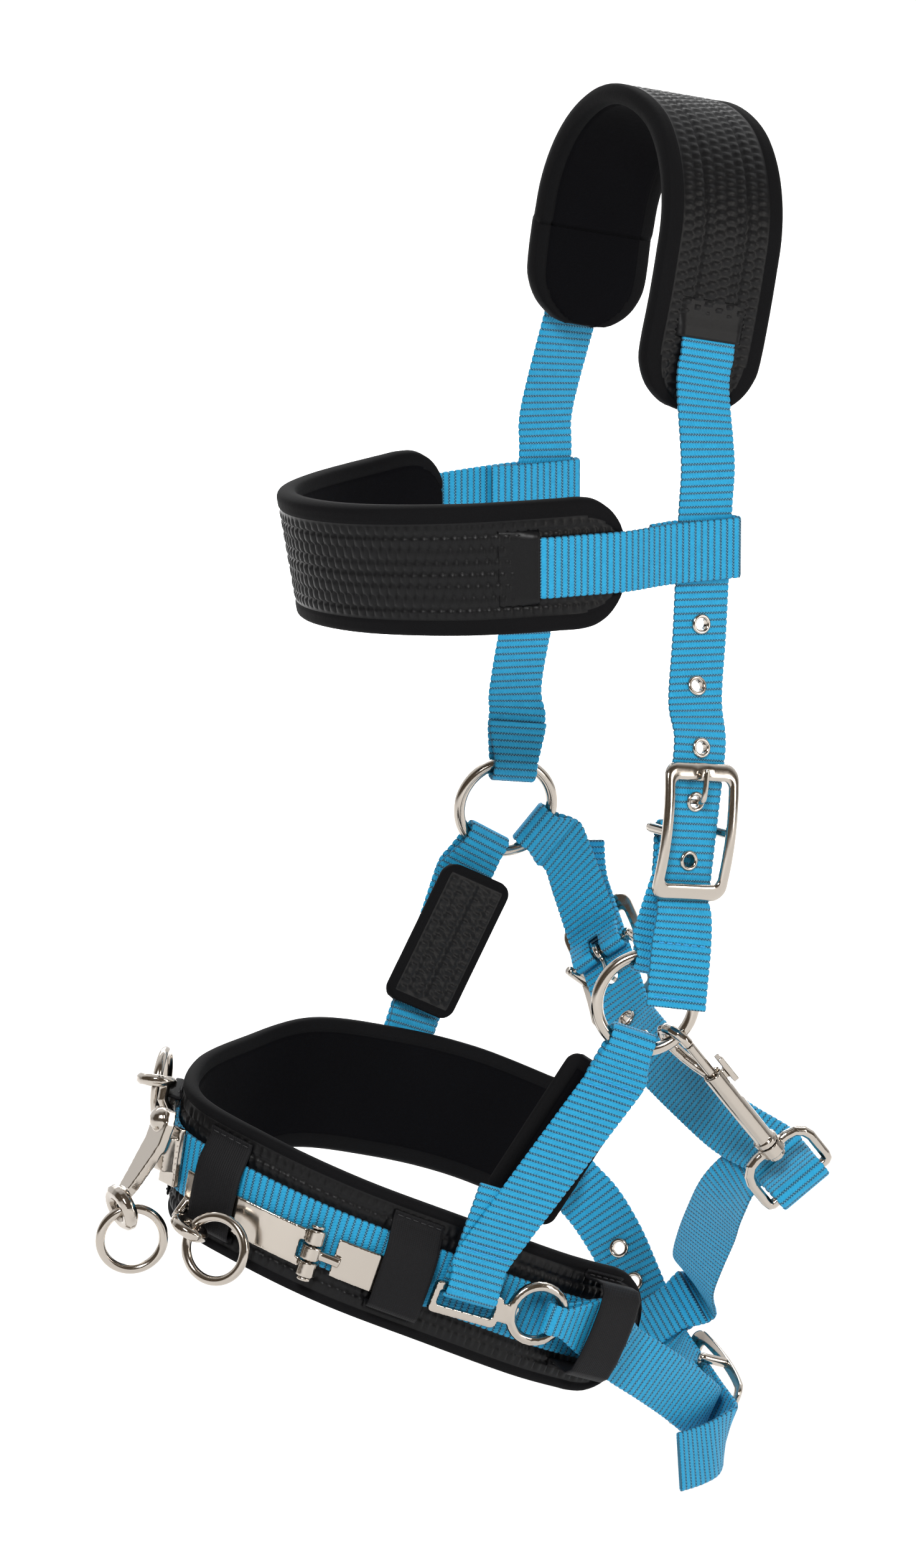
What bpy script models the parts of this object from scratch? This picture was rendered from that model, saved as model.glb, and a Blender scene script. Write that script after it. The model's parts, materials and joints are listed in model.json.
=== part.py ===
"""Padded webbing head halter with a hinged nose iron, a crown buckle, a throat buckle,
a chin buckle and a swivel bolt snap.

Frame: +Z up, the nose points to -X, the near (left) cheek is -Y and the far cheek is +Y.
The origin is the poll seat: the inside top of the crown pad, halfway across.
All sizes below are millimetres; meshes are written in metres.
"""
import math

import bmesh
import bpy
from mathutils import Matrix, Vector

MM = 0.001                      # metres in a millimetre

# ---- driving dimensions (mm) ------------------------------------------------
WEB_W = 25.0                    # webbing width
WEB_T = 1.8                     # webbing thickness
GAP = 0.35                      # clearance kept between touching pieces
LAYER = WEB_T + GAP             # pitch of two webbing layers
PINCH_W = 19.0                  # webbing width where it bunches on a ring

COVER_T = 1.0                   # embossed outer cover of a pad
FOAM_T = 4.6                    # foam and lining of a pad
COVER_OUT = WEB_T / 2 + GAP + COVER_T / 2      # cover level, from the strap's middle
FOAM_IN = -(WEB_T / 2 + GAP + FOAM_T / 2)      # foam level, from the strap's middle
OVER_COVER = COVER_OUT + COVER_T / 2 + GAP + WEB_T / 2   # a strap lying on the cover
CROWN_W = 55.0                  # crown pad width
BROW_W = 54.0                   # browband pad height
NOSE_W = 55.0                   # noseband pad height

RING_R, RING_WIRE = 20.0, 2.5   # cheek rings: centre-line radius, wire radius
NOSE_RING_R, NOSE_WIRE = 13.0, 2.0
BUCKLE_W, BUCKLE_H = 35.0, 56.0
BUCKLE_T = 2.4                  # frame thickness
BUCKLE_SIDE_RAIL, BUCKLE_END_RAIL = 4.4, 7.0
BUCKLE_DOME = 4.0               # how far the middle of the frame stands above its ends
BAR_R = 1.5                     # buckle centre bar radius
STRAP_LEVEL = 5.0               # level of the strap threaded over the centre bar
TONGUE_R = 1.2                  # tongue wire radius
TONGUE_HOLE = 12.0              # from the bar to the eyelet that the tongue stands in
EYELET_HOLE, EYELET_TUBE, EYELET_FLANGE = 2.5, 3.0, 4.2  # radii


def unit(x, y, z):
    return Vector((x, y, z)).normalized()


def square_to(direction, axis):
    """The part of direction at right angles to axis, as a unit vector."""
    return (direction - axis * direction.dot(axis)).normalized()


def basis(origin, x_axis, z_axis):
    """A frame in mm: local X along x_axis, local Z near z_axis."""
    x = x_axis.normalized()
    z = square_to(z_axis, x)
    y = z.cross(x)
    return Matrix.Translation(origin) @ Matrix((x, y, z)).transposed().to_4x4()


# ---- anchors worked out from the head's proportions (mm) --------------------
NEAR_RING = Vector((-60, -86, -347))
FAR_RING = Vector((-35, 80, -300))
SWING_AXIS = (FAR_RING - NEAR_RING).normalized()
NEAR_RING_N = unit(-0.315, -0.949, -0.035)
FAR_RING_N = unit(0.223, 0.960, 0.169)
UP = Vector((0, 0, 1))


def on_ring(centre, normal, degrees, radius=RING_R):
    """A point of a ring, and the outward direction there; 0 degrees is to the rear, 90 up."""
    rear = square_to(Vector((1, 0, 0)), normal)
    up = square_to(UP - rear * UP.dot(rear), normal)
    angle = math.radians(degrees)
    away = rear * math.cos(angle) + up * math.sin(angle)
    return centre + away * radius, away


# ---- scene helpers ----------------------------------------------------------
for old in list(bpy.data.objects):
    bpy.data.objects.remove(old, do_unlink=True)


def collection(name):
    made = bpy.data.collections.new(name)
    bpy.context.scene.collection.children.link(made)
    return made


PARTS = collection("head_halter")
CUTTERS = collection("cutters")


def material(name, colour, roughness, metallic=0.0):
    made = bpy.data.materials.new(name)
    made.use_nodes = True
    shader = made.node_tree.nodes["Principled BSDF"]
    shader.inputs["Base Color"].default_value = (*colour, 1.0)
    shader.inputs["Roughness"].default_value = roughness
    shader.inputs["Metallic"].default_value = metallic
    return made


def piece_material(name, kind):
    colour, roughness, metallic = {
        "webbing": ((0.02, 0.30, 0.62), 0.6, 0.0),
        "cover": ((0.02, 0.02, 0.022), 0.5, 0.0),
        "foam": ((0.008, 0.008, 0.012), 0.85, 0.0),
        "keeper": ((0.012, 0.012, 0.014), 0.6, 0.0),
        "nickel": ((0.72, 0.66, 0.60), 0.15, 1.0),
    }[kind]
    return material(name + "_" + kind, colour, roughness, metallic)


def add_object(name, mesh, kind, body=None):
    made = bpy.data.objects.new(name, mesh)
    PARTS.objects.link(made)
    if kind:
        mesh.materials.clear()
        mesh.materials.append(piece_material(name, kind))
    if body:
        made.parent = body
        made.matrix_parent_inverse = body.matrix_world.inverted()
    return made


def joint_empty(name, position, axis):
    """An empty on a joint's axis, its local Z along the axis."""
    made = bpy.data.objects.new(name, None)
    made.empty_display_size = 0.01
    PARTS.objects.link(made)
    made.matrix_world = basis(position * MM, square_to(Vector((0.3, 0.2, 1)), axis), axis)
    bpy.context.view_layer.update()
    return made


def make_cutter(mesh, name):
    made = bpy.data.objects.new(name, mesh)
    CUTTERS.objects.link(made)
    made.hide_render = True
    made.display_type = "WIRE"
    return made


def boolean(target, tool, operation):
    step = target.modifiers.new(operation.lower(), "BOOLEAN")
    step.operation = operation
    step.object = tool
    step.solver = "EXACT"


def round_bar(name, frame, radius, length, sides=16):
    """A cylinder mesh along the frame's local Z, centred on it."""
    shape = bmesh.new()
    bmesh.ops.create_cone(shape, cap_ends=True, segments=sides, radius1=radius * MM,
                          radius2=radius * MM, depth=length * MM)
    return finish_mesh(name, shape, frame)


def box(name, frame, size):
    shape = bmesh.new()
    bmesh.ops.create_cube(shape, size=1.0)
    bmesh.ops.scale(shape, vec=Vector(size) * MM, verts=shape.verts)
    return finish_mesh(name, shape, frame)


def finish_mesh(name, shape, frame=None):
    """Write a bmesh in metres, placed by a frame given in mm."""
    if frame is not None:
        placed = frame.copy()
        placed.translation = placed.translation * MM
        bmesh.ops.transform(shape, matrix=placed, verts=shape.verts)
    mesh = bpy.data.meshes.new(name)
    shape.to_mesh(mesh)
    shape.free()
    return mesh


# ---- webbing and pads -------------------------------------------------------
def smooth(stations, steps=4):
    """Stations along a smooth (Catmull-Rom) line through hand-placed ones."""
    ends = [stations[0]] + list(stations) + [stations[-1]]
    out = []
    for a, b, c, d in zip(ends, ends[1:], ends[2:], ends[3:]):
        for k in range(steps):
            t = k / steps
            out.append(tuple(
                0.5 * (2 * q + (r - p) * t + (2 * p - 5 * q + 4 * r - s) * t * t
                       + (3 * q - p - 3 * r + s) * t ** 3)
                for p, q, r, s in zip(a, b, c, d)))
    out.append(stations[-1])
    return out


def strip(name, stations, kind, thickness=WEB_T, body=None, slots=(), slot_w=5.2):
    """A flat strap: a strip through stations (centre, side, width), thickened both ways.

    slots are station ranges where the middle of the strip is left open.
    """
    shape = bmesh.new()
    rows = []
    for centre, side, width in stations:
        half = width / 2
        inner = min(slot_w / 2, half * 0.8)
        offsets = (-half, -inner, inner, half) if slots else (-half, half)
        rows.append([shape.verts.new((centre + side.normalized() * o) * MM) for o in offsets])
    for i, (near, far) in enumerate(zip(rows, rows[1:])):
        for j in range(len(near) - 1):
            if j == 1 and any(first <= i < last for first, last in slots):
                continue
            shape.faces.new((near[j], near[j + 1], far[j + 1], far[j]))
    made = add_object(name, finish_mesh(name, shape), kind, body)
    shell = made.modifiers.new("thickness", "SOLIDIFY")
    shell.thickness = thickness * MM
    shell.offset = 0.0
    shell.use_even_offset = True
    return made


def shifted(stations, levels, outs):
    """Move each station along its outward direction by its level."""
    return [(c + out * level, s, w) for (c, s, w), level, out in zip(stations, levels, outs)]


def outwards(stations, towards):
    """Surface normals of a strip, on the side that towards(centre) points to."""
    found = []
    for i, (centre, side, _) in enumerate(stations):
        before = stations[max(i - 1, 0)][0]
        after = stations[min(i + 1, len(stations) - 1)][0]
        normal = (after - before).cross(side).normalized()
        found.append(normal if normal.dot(towards(centre)) > 0 else -normal)
    return found


def looped_end(bar, away, out, like, radius, depth=0.0, pinch=WEB_W, tail=22.0, lead=14.0):
    """A strap's sewn end: the tail, round the bar, then out along the strap.

    away points from the bar along the strap and out to its outer face; depth lengthens
    the eye for a bar that is curved.
    """
    side = away.cross(out).normalized()
    if side.dot(like) < 0:
        side = -side
    level = LAYER / 2

    def place(x, y, w):
        return (bar + away * x + out * y, side, w)

    middle = (radius + level) / 2
    arc = [place(-depth + radius * math.cos(math.radians(270 - 30 * k)),
                 radius * math.sin(math.radians(270 - 30 * k)), pinch) for k in range(7)]
    stations = [place(tail, -level, WEB_W), place(lead, -level, WEB_W),
                place(lead / 2, -middle, (WEB_W + pinch) / 2)]
    if depth > 0.5:
        stations += [place(0, -radius, pinch)] + arc + [place(0, radius, pinch)]
    else:
        stations += arc
    stations += [place(lead / 2, middle, (WEB_W + pinch) / 2), place(lead, level, WEB_W)]
    return stations


def ribbon(points, hints, width=WEB_W):
    """Stations through points; each hint is turned square to the run to give the side."""
    found = []
    for i, point in enumerate(points):
        run = (points[min(i + 1, len(points) - 1)] - points[max(i - 1, 0)]).normalized()
        found.append((point, square_to(hints[i], run), width))
    return found


def double_strap(name, first, second, body=None, slots=()):
    """A strap folded round two bars, its cut ends butted in the inner layer."""
    between = smooth([first[-2], first[-1], second[-1], second[-2]], 4)[5:-5]
    return strip(name, first + between + second[::-1], "webbing", WEB_T, body, slots=slots)


def on_strap(stations, index, t=0.0):
    """The middle of a strap part-way between two stations, and its normal."""
    (a, side_a, _), (b, side_b, _) = stations[index], stations[index + 1]
    return a.lerp(b, t), (b - a).cross(side_a.lerp(side_b, t)).normalized()


def rounded_ends(stations, width, radius):
    """Add stations at both ends of a run so that a pad ends in round corners."""
    def cap(first, second):
        step = (first[0] - second[0]).normalized()
        found = []
        for degrees in (20, 42, 65, 84):
            a = math.radians(degrees)
            found.append((first[0] + step * radius * math.sin(a), first[1],
                          width - 2 * radius * (1 - math.cos(a))))
        return found
    body = [(c, s, width) for c, s, _ in stations]
    return cap(body[0], body[1])[::-1] + body + cap(body[-1], body[-2])


# ---- hardware ---------------------------------------------------------------
def torus(name, centre, normal, major, minor, body=None, segments=36, sides=10):
    """A wire ring, placed by its own location and rotation, its axis along normal."""
    bpy.ops.mesh.primitive_torus_add(major_radius=major * MM, minor_radius=minor * MM,
                                     major_segments=segments, minor_segments=sides)
    made = bpy.context.object
    for home in list(made.users_collection):
        home.objects.unlink(made)
    PARTS.objects.link(made)
    made.name = name
    made.data.materials.append(piece_material(name, "nickel"))
    made.data.shade_smooth()
    made.matrix_world = Matrix.Translation(centre * MM) @ normal.to_track_quat("Z", "Y").to_matrix().to_4x4()
    bpy.context.view_layer.update()
    if body:
        world = made.matrix_world.copy()
        made.parent = body
        made.matrix_parent_inverse = body.matrix_world.inverted()
        made.matrix_basis = world
    return made


def rod(name, points, radius, kind="nickel", body=None, cyclic=False, sides=2):
    """A round wire through points (mm)."""
    curve = bpy.data.curves.new(name, "CURVE")
    curve.dimensions = "3D"
    curve.bevel_depth = radius * MM
    curve.bevel_resolution = sides
    curve.use_fill_caps = True
    line = curve.splines.new("POLY")
    line.points.add(len(points) - 1)
    for spot, point in zip(line.points, points):
        spot.co = (*(point * MM), 1.0)
    line.use_cyclic_u = cyclic
    return add_object(name, curve, kind, body)


def rod_mesh(name, points, radius, sides=2, cyclic=False):
    """The same wire as a closed mesh, for use in a Boolean."""
    made = rod(name, points, radius, None, None, cyclic, sides)
    bpy.context.view_layer.update()
    graph = bpy.context.evaluated_depsgraph_get()
    mesh = bpy.data.meshes.new_from_object(made.evaluated_get(graph))
    bpy.data.objects.remove(made, do_unlink=True)
    weld = bmesh.new()
    weld.from_mesh(mesh)
    bmesh.ops.remove_doubles(weld, verts=weld.verts, dist=1e-6)
    weld.to_mesh(mesh)
    weld.free()
    return mesh


def ring_mesh(name, centre, normal, major, minor, squash=1.0):
    """A closed wire ring (or an oval one) as a mesh, for use in a Boolean."""
    frame = basis(centre, square_to(Vector((0.3, 0.2, 1)), normal), normal)
    points = [frame @ Vector((major * squash * math.cos(2 * math.pi * k / 28),
                              major * math.sin(2 * math.pi * k / 28), 0)) for k in range(28)]
    return rod_mesh(name, points, minor, 2, True)


def bar_between(name, a, b, radius, sides=16):
    """A cylinder mesh from a to b."""
    frame = basis((a + b) / 2, square_to(Vector((0.3, 0.21, 1)), (b - a).normalized()), b - a)
    return round_bar(name, frame, radius, (b - a).length, sides)


def outline_points(width, height, radius, steps=4):
    """A rounded rectangle, anticlockwise."""
    points = []
    for cx, cy, start in ((1, 1, 0), (-1, 1, 90), (-1, -1, 180), (1, -1, 270)):
        for k in range(steps + 1):
            a = math.radians(start + 90 * k / steps)
            points.append((cx * (width / 2 - radius) + radius * math.cos(a),
                           cy * (height / 2 - radius) + radius * math.sin(a)))
    return points


def plate(name, frame, outlines, thickness, kind="nickel", body=None):
    """A flat plate: outlines (the first is the edge, the others are holes) in the frame's XY."""
    curve = bpy.data.curves.new(name, "CURVE")
    curve.dimensions = "2D"
    curve.fill_mode = "BOTH"
    curve.extrude = thickness / 2 * MM
    for outline in outlines:
        line = curve.splines.new("POLY")
        line.points.add(len(outline) - 1)
        for spot, (x, y) in zip(line.points, outline):
            spot.co = (x * MM, y * MM, 0.0, 1.0)
        line.use_cyclic_u = True
    made = add_object(name, curve, kind)
    placed = frame.copy()
    placed.translation = placed.translation * MM
    made.matrix_world = placed
    bpy.context.view_layer.update()
    if body:
        world = made.matrix_world.copy()
        made.parent = body
        made.matrix_parent_inverse = body.matrix_world.inverted()
        made.matrix_basis = world
    return made


def plate_mesh(name, frame, outlines, thickness):
    """The same plate as a closed mesh in world space, for use in a Boolean."""
    made = plate(name, frame, outlines, thickness, None)
    graph = bpy.context.evaluated_depsgraph_get()
    mesh = bpy.data.meshes.new_from_object(made.evaluated_get(graph))
    mesh.transform(made.matrix_world)
    bpy.data.objects.remove(made, do_unlink=True)
    weld = bmesh.new()
    weld.from_mesh(mesh)
    bmesh.ops.remove_doubles(weld, verts=weld.verts, dist=1e-6)
    bmesh.ops.recalc_face_normals(weld, faces=weld.faces)
    weld.to_mesh(mesh)
    weld.free()
    return mesh


def circle(radius, x=0.0, y=0.0, steps=24):
    return [(x + radius * math.cos(2 * math.pi * k / steps),
             y + radius * math.sin(2 * math.pi * k / steps)) for k in range(steps)]


def eyelet(name, centre, normal, body=None):
    """A turned grommet: a short tube with a flange on each face of the strap."""
    face = WEB_T / 2 + 0.6
    profile = [(EYELET_HOLE, face + 0.5), (EYELET_FLANGE, face + 0.5), (EYELET_FLANGE, face),
               (EYELET_TUBE, face), (EYELET_TUBE, -face), (EYELET_FLANGE, -face),
               (EYELET_FLANGE, -face - 0.5), (EYELET_HOLE, -face - 0.5)]
    turned = bmesh.new()
    sides = 20
    rings = []
    for k in range(sides):
        a = 2 * math.pi * k / sides
        rings.append([turned.verts.new((r * math.cos(a) * MM, r * math.sin(a) * MM, z * MM))
                      for r, z in profile])
    for a, b in zip(rings, rings[1:] + rings[:1]):
        for i in range(len(profile)):
            j = (i + 1) % len(profile)
            turned.faces.new((a[i], b[i], b[j], a[j]))
    bmesh.ops.recalc_face_normals(turned, faces=turned.faces)
    frame = basis(centre, square_to(Vector((0.2, 0.3, 1)), normal), normal)
    return add_object(name, finish_mesh(name, turned, frame), "nickel", body)


def punch(strap, centre, normal):
    """The hole in a strap that an eyelet sits in."""
    frame = basis(centre, square_to(Vector((0.2, 0.3, 1)), normal), normal)
    cut(strap, round_bar("punch", frame, EYELET_TUBE + 0.45, 6.0, 20), strap.name + "_punch")


def dome_level(x):
    """Height of the middle of a buckle frame's wall over the centre bar."""
    end = STRAP_LEVEL + WEB_T / 2 + GAP + BUCKLE_T / 2 + 0.4
    return end + BUCKLE_DOME * (1 - (2 * x / BUCKLE_H) ** 2)


def buckle(name, frame, body, tongue_body):
    """A domed centre-bar buckle. Local origin: the middle of the centre bar; X along the
    strap towards the tongue's tip, Y along the bar, Z outwards."""
    outer = outline_points(BUCKLE_H, BUCKLE_W, 6.0)
    inner = outline_points(BUCKLE_H - 2 * BUCKLE_END_RAIL, BUCKLE_W - 2 * BUCKLE_SIDE_RAIL, 2.5)
    shape = bmesh.new()

    def fill_long_sides(points):
        """Extra points on the long sides, where the frame is domed."""
        dense = []
        for (x0, y0), (x1, y1) in zip(points, points[1:] + points[:1]):
            dense.append((x0, y0))
            if abs(x1 - x0) > 20:
                dense += [(x0 + (x1 - x0) * k / 6, y0 + (y1 - y0) * k / 6) for k in range(1, 6)]
        return dense

    loops = [[shape.verts.new(Vector((x, y, dome_level(x))) * MM) for x, y in fill_long_sides(points)]
             for points in (outer, inner)]
    count = len(loops[0])
    for k in range(count):
        n = (k + 1) % count
        shape.faces.new((loops[0][k], loops[0][n], loops[1][n], loops[1][k]))
    made = add_object(name + "_frame", finish_mesh(name, shape, frame), "nickel", body)
    shell = made.modifiers.new("thickness", "SOLIDIFY")
    shell.thickness = BUCKLE_T * MM
    shell.offset = 0.0
    across = (BUCKLE_W - BUCKLE_SIDE_RAIL) / 2
    bar_frame = frame @ Matrix.Rotation(math.radians(90), 4, "X")
    union(made, round_bar(name, bar_frame, BAR_R, 2 * across), name + "_bar")
    for hand in (-1, 1):
        lug = frame @ Matrix.Translation((0, hand * across, dome_level(0) / 2 - 0.6))
        union(made, box(name, lug, (8.0, 3.2, dome_level(0) + 2.0)), name + "_lug")

    ring = BAR_R + GAP + TONGUE_R
    tip = BUCKLE_H / 2 - 2.0
    rest = dome_level(tip - 4.0) + BUCKLE_T / 2 + GAP + TONGUE_R
    path = [(ring * math.cos(math.radians(a)), ring * math.sin(math.radians(a)))
            for a in range(-250, 1, 25)]
    path += [(ring + 2.0, 0.9), (TONGUE_HOLE - 2.0, 0.9), (TONGUE_HOLE - 0.3, 2.4),
             (TONGUE_HOLE, STRAP_LEVEL), (TONGUE_HOLE + 0.6, rest - 2.0),
             (TONGUE_HOLE + 2.8, rest), (tip - 2.0, rest), (tip, rest - 0.2)]
    points = [frame @ Vector((x, 0, z)) for x, z in path]
    rod(name + "_tongue", points, TONGUE_R, "nickel", tongue_body)


def union(target, mesh, name):
    boolean(target, make_cutter(mesh, name), "UNION")


def cut(target, mesh, name):
    boolean(target, make_cutter(mesh, name), "DIFFERENCE")


# ---- the crown --------------------------------------------------------------
CROWN_TOP = FOAM_T + GAP + WEB_T / 2       # the strap's middle at the top of the arch
CROWN_HALF = 57.0                          # half the arch's width
CROWN_RISE = 58.0                          # height of its round part
NEAR_LEAN, FAR_LEAN = 0.22, 0.14           # how far the arms come forward as they go down
NEAR_ARM_END, FAR_ARM_END = -89.0, -71.0   # where the pads' round ends begin


def crown_point(degrees):
    """A point of the arch; 0 is the near side, 180 the far side."""
    a = math.radians(degrees)
    z = CROWN_TOP - CROWN_RISE * (1 - math.sin(a))
    return lean(Vector((0, -CROWN_HALF * math.cos(a), z)))


def lean(point):
    slope = NEAR_LEAN if point.y < 0 else FAR_LEAN
    return Vector((point.x + slope * min(point.z, 0.0), point.y, point.z))


CROWN_SIDE = unit(0.977, 0, -0.212)
BUCKLE_BAR = Vector((-43, -86.5, -277))
BUCKLE_UP = unit(0.15, 0.045, 0.99)
BUCKLE_OUT = square_to(Vector((0.05, -1, 0)), BUCKLE_UP)
BUCKLE_SIDE = BUCKLE_UP.cross(BUCKLE_OUT)
TAIL_DOWN = -unit(0.22, 0.22, 0.95)
TAIL_SIDE = square_to(Vector((0.96, -0.27, -0.1)), TAIL_DOWN)


FAR_LOOP_ANGLE = 85.3                       # where the far ring hangs in its loop


def crown_run():
    """The arch from the near arm's end over the poll to the far arm's end."""
    near = [lean(Vector((0, -CROWN_HALF - 1.0, z))) for z in (NEAR_ARM_END, -70.0)]
    far = [lean(Vector((0, CROWN_HALF + 1.0, z))) for z in (-55.0, FAR_ARM_END)]
    arch = [crown_point(a) for a in range(0, 181, 12)]
    return [(p, CROWN_SIDE, WEB_W) for p in near + arch + far]


def crown_out(centre):
    return Vector((0, centre.y, max(centre.z + 70, 0)))


def build_crown(root):
    run = crown_run()
    outs = outwards(run, crown_out)
    pad_run = rounded_ends(run, CROWN_W, 24.0)
    pad_outs = outwards(pad_run, crown_out)
    lining = shifted(pad_run, [FOAM_IN] * len(pad_run), pad_outs)
    strip("crown_pad_lining", lining, "foam", FOAM_T, root)
    cover = shifted(pad_run, [COVER_OUT] * len(pad_run), pad_outs)
    last = len(cover) - 1
    strip("crown_pad_cover", cover, "cover", COVER_T, root,
          slots=((4, 5), (last - 5, last - 4)), slot_w=WEB_W + 3.0)
    return run, outs


def build_crown_strap(root, run, outs):
    """One strap: near tail, crown buckle, eyelets, over the poll, down to the far ring."""
    # Down the near side: from the slit in the pad cover to the end of the tail.
    near_top = run[0][0] + outs[0] * (OVER_COVER + 0.5)
    out = BUCKLE_OUT
    up = BUCKLE_UP
    rail = BUCKLE_H / 2
    tail_start = BUCKLE_BAR - up * (rail + 6) + out * (STRAP_LEVEL + 2.4)
    tail = [(tail_start + TAIL_DOWN * d, side, WEB_W)
            for d, side in ((38.0, TAIL_SIDE), (26.0, TAIL_SIDE), (13.0, TAIL_SIDE))]
    levels = ((-rail - 6, 2.4), (-rail, 0.1), (-rail + 6, 0), (-8, 0), (0, 0), (TONGUE_HOLE, 0),
              (rail - 4, 0), (rail + 10, -1.0))
    through = [(BUCKLE_BAR + up * x + out * (STRAP_LEVEL + dz), BUCKLE_SIDE, WEB_W)
               for x, dz in levels]
    through[0] = (through[0][0], (BUCKLE_SIDE * 2 + TAIL_SIDE).normalized(), WEB_W)
    brow = near_strap_line()
    near_side = [(p, unit(1, 0, -0.06), WEB_W) for p in reversed(brow)]
    slit = [(near_top + Vector((-2.4, -0.9, -12)), CROWN_SIDE, WEB_W), (near_top, CROWN_SIDE, WEB_W)]
    near = smooth(tail + through + near_side + slit, 3)
    # Over the poll, between cover and lining.
    middle = run[1:-1]
    # Down the far side to the far ring.
    far_line = far_strap_line()
    bar, radial = on_ring(FAR_RING, FAR_RING_N, FAR_LOOP_ANGLE)
    away = square_to(far_line[-1] - FAR_RING_N * LAYER / 2 - bar, FAR_RING_N.cross(radial))
    far_out = square_to(FAR_RING_N, away)
    loop = looped_end(bar, away, far_out, Vector((1, 0, 0)), RING_WIRE + 1.0 + WEB_T / 2,
                      depth=3.0, pinch=PINCH_W, tail=17.0)
    far_top = run[-1][0] + outs[-1] * (OVER_COVER + 0.5)
    far = [(far_top, CROWN_SIDE, WEB_W), (far_top + Vector((-1.7, 0.9, -12)), CROWN_SIDE, WEB_W)]
    far += [(p, unit(1, 0, -0.06), WEB_W) for p in far_line]
    far += [(bar + away * 21 + far_out * (LAYER / 2 + 0.1), loop[-1][1], WEB_W), loop[-1]]
    stations = near + middle + smooth(far, 3) + loop[::-1][1:]
    return strip("crown_strap", stations, "webbing", WEB_T, root), near


SLIDE = unit(-0.05, 0, -1)             # the browband slides along this line
BROW_Z = -166.0
NEAR_AT_BROW = Vector((-27, -73, BROW_Z))   # the crown strap's middle, where it is wrapped
FAR_AT_BROW = Vector((-20, 75, BROW_Z))


def near_strap_line():
    """The near crown strap from above the browband to above the crown buckle."""
    centre = NEAR_AT_BROW
    return [centre - SLIDE * 36, centre - SLIDE * 18, centre, centre + SLIDE * 18,
            centre + SLIDE * 36, Vector((-35, -81, -226))]


def far_strap_line():
    centre = FAR_AT_BROW
    return [centre - SLIDE * 36, centre - SLIDE * 18, centre, centre + SLIDE * 18,
            centre + SLIDE * 36, Vector((-27, 78, -226)), Vector((-31, 79, -250))]


CROWN_EYELET_Z = (-196.5, -220.5, -243.5)   # heights of the three free eyelets


def strap_at_height(stations, z):
    """The middle of a falling strap at a height, and its normal."""
    for i in range(len(stations) - 1):
        low, high = sorted((stations[i][0].z, stations[i + 1][0].z))
        if low <= z <= high:
            t = (z - stations[i][0].z) / (stations[i + 1][0].z - stations[i][0].z)
            return on_strap(stations, i, t)
    raise ValueError("height off the strap")


def build_crown_fittings(root, tongues, strap, line):
    """The crown buckle, the short strap that carries it, and five eyelets."""
    frame = basis(BUCKLE_BAR, BUCKLE_UP, BUCKLE_OUT)
    buckle("crown_buckle", frame, root, tongues)
    # The short strap: round the buckle's bar and round the near ring, its ends butted inside.
    like = BUCKLE_SIDE
    ring_bar, ring_away = on_ring(NEAR_RING, NEAR_RING_N, 77.0)
    top = looped_end(BUCKLE_BAR, -BUCKLE_UP, BUCKLE_OUT, like, BAR_R + GAP + WEB_T / 2, tail=18.0)
    low = looped_end(ring_bar, ring_away, NEAR_RING_N, like, RING_WIRE + 1.0 + WEB_T / 2,
                     depth=3.0, pinch=PINCH_W, tail=11.0, lead=8.0)
    between = smooth([top[-2], top[-1], low[-1], low[-2]], 4)[5:-5]
    stations = top + between + low[::-1]
    slot = (2, len(top) - 2)
    strip("crown_buckle_strap", stations, "webbing", WEB_T, root, slots=(slot,))
    for number, z in enumerate(CROWN_EYELET_Z, 1):
        centre, normal = strap_at_height(line, z)
        eyelet(f"crown_eyelet_{number}", centre, normal, root)
        punch(strap, centre, normal)
    for number, x in enumerate((TONGUE_HOLE, TONGUE_HOLE - 24.0), 4):
        centre = BUCKLE_BAR + BUCKLE_UP * x + BUCKLE_OUT * STRAP_LEVEL
        eyelet(f"crown_eyelet_{number}", centre, BUCKLE_OUT, root)
        punch(strap, centre, BUCKLE_OUT)


# ---- the browband -----------------------------------------------------------
BROW_FRONT_X, BROW_HALF = -172.0, 76.0
BROW_SLIT_X = -97.0                         # where the strap comes out through the cover


def brow_height(x):
    """The band stands upright at the sides and leans forward at the brow."""
    return unit(-0.22 * max(0.0, (-110 - x) / 60), 0, 1)


def build_browband(body):
    points = [(-86, -76.5, -166), (-102, -75, -166), (-128, -65, -167), (-150, -46, -168.5),
              (-163, -24, -170), (-168, 0, -171), (-163, 24, -172), (-150, 44, -172.5),
              (-130, 60, -172.5), (-106, 70.5, -171.5), (-90, 73, -170)]
    run = smooth([(Vector(p), brow_height(p[0]), WEB_W) for p in points], 2)

    def outer(centre):
        return Vector((min(centre.x + 90, 0), centre.y, 0))

    outs = outwards(run, outer)
    pad = rounded_ends(run, BROW_W, 20.0)
    pad_outs = outwards(pad, outer)
    last = len(pad) - 1
    strip("browband_lining", shifted(pad, [FOAM_IN] * len(pad), pad_outs), "foam", FOAM_T, body)
    strip("browband_cover", shifted(pad, [COVER_OUT] * len(pad), pad_outs), "cover", COVER_T,
          body, slots=((6, 7), (last - 7, last - 6)), slot_w=WEB_W + 1.5)
    # The strap: inside the pad, out through a slit at each end, round the crown strap.
    inside = run[3:-3]
    near = brow_loop(NEAR_AT_BROW, -1, pad[:7], pad_outs[:7])
    far = brow_loop(FAR_AT_BROW, 1, pad[:-8:-1], pad_outs[:-8:-1])
    strip("browband_strap", near + inside + far[::-1], "webbing", WEB_T, body)


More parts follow.
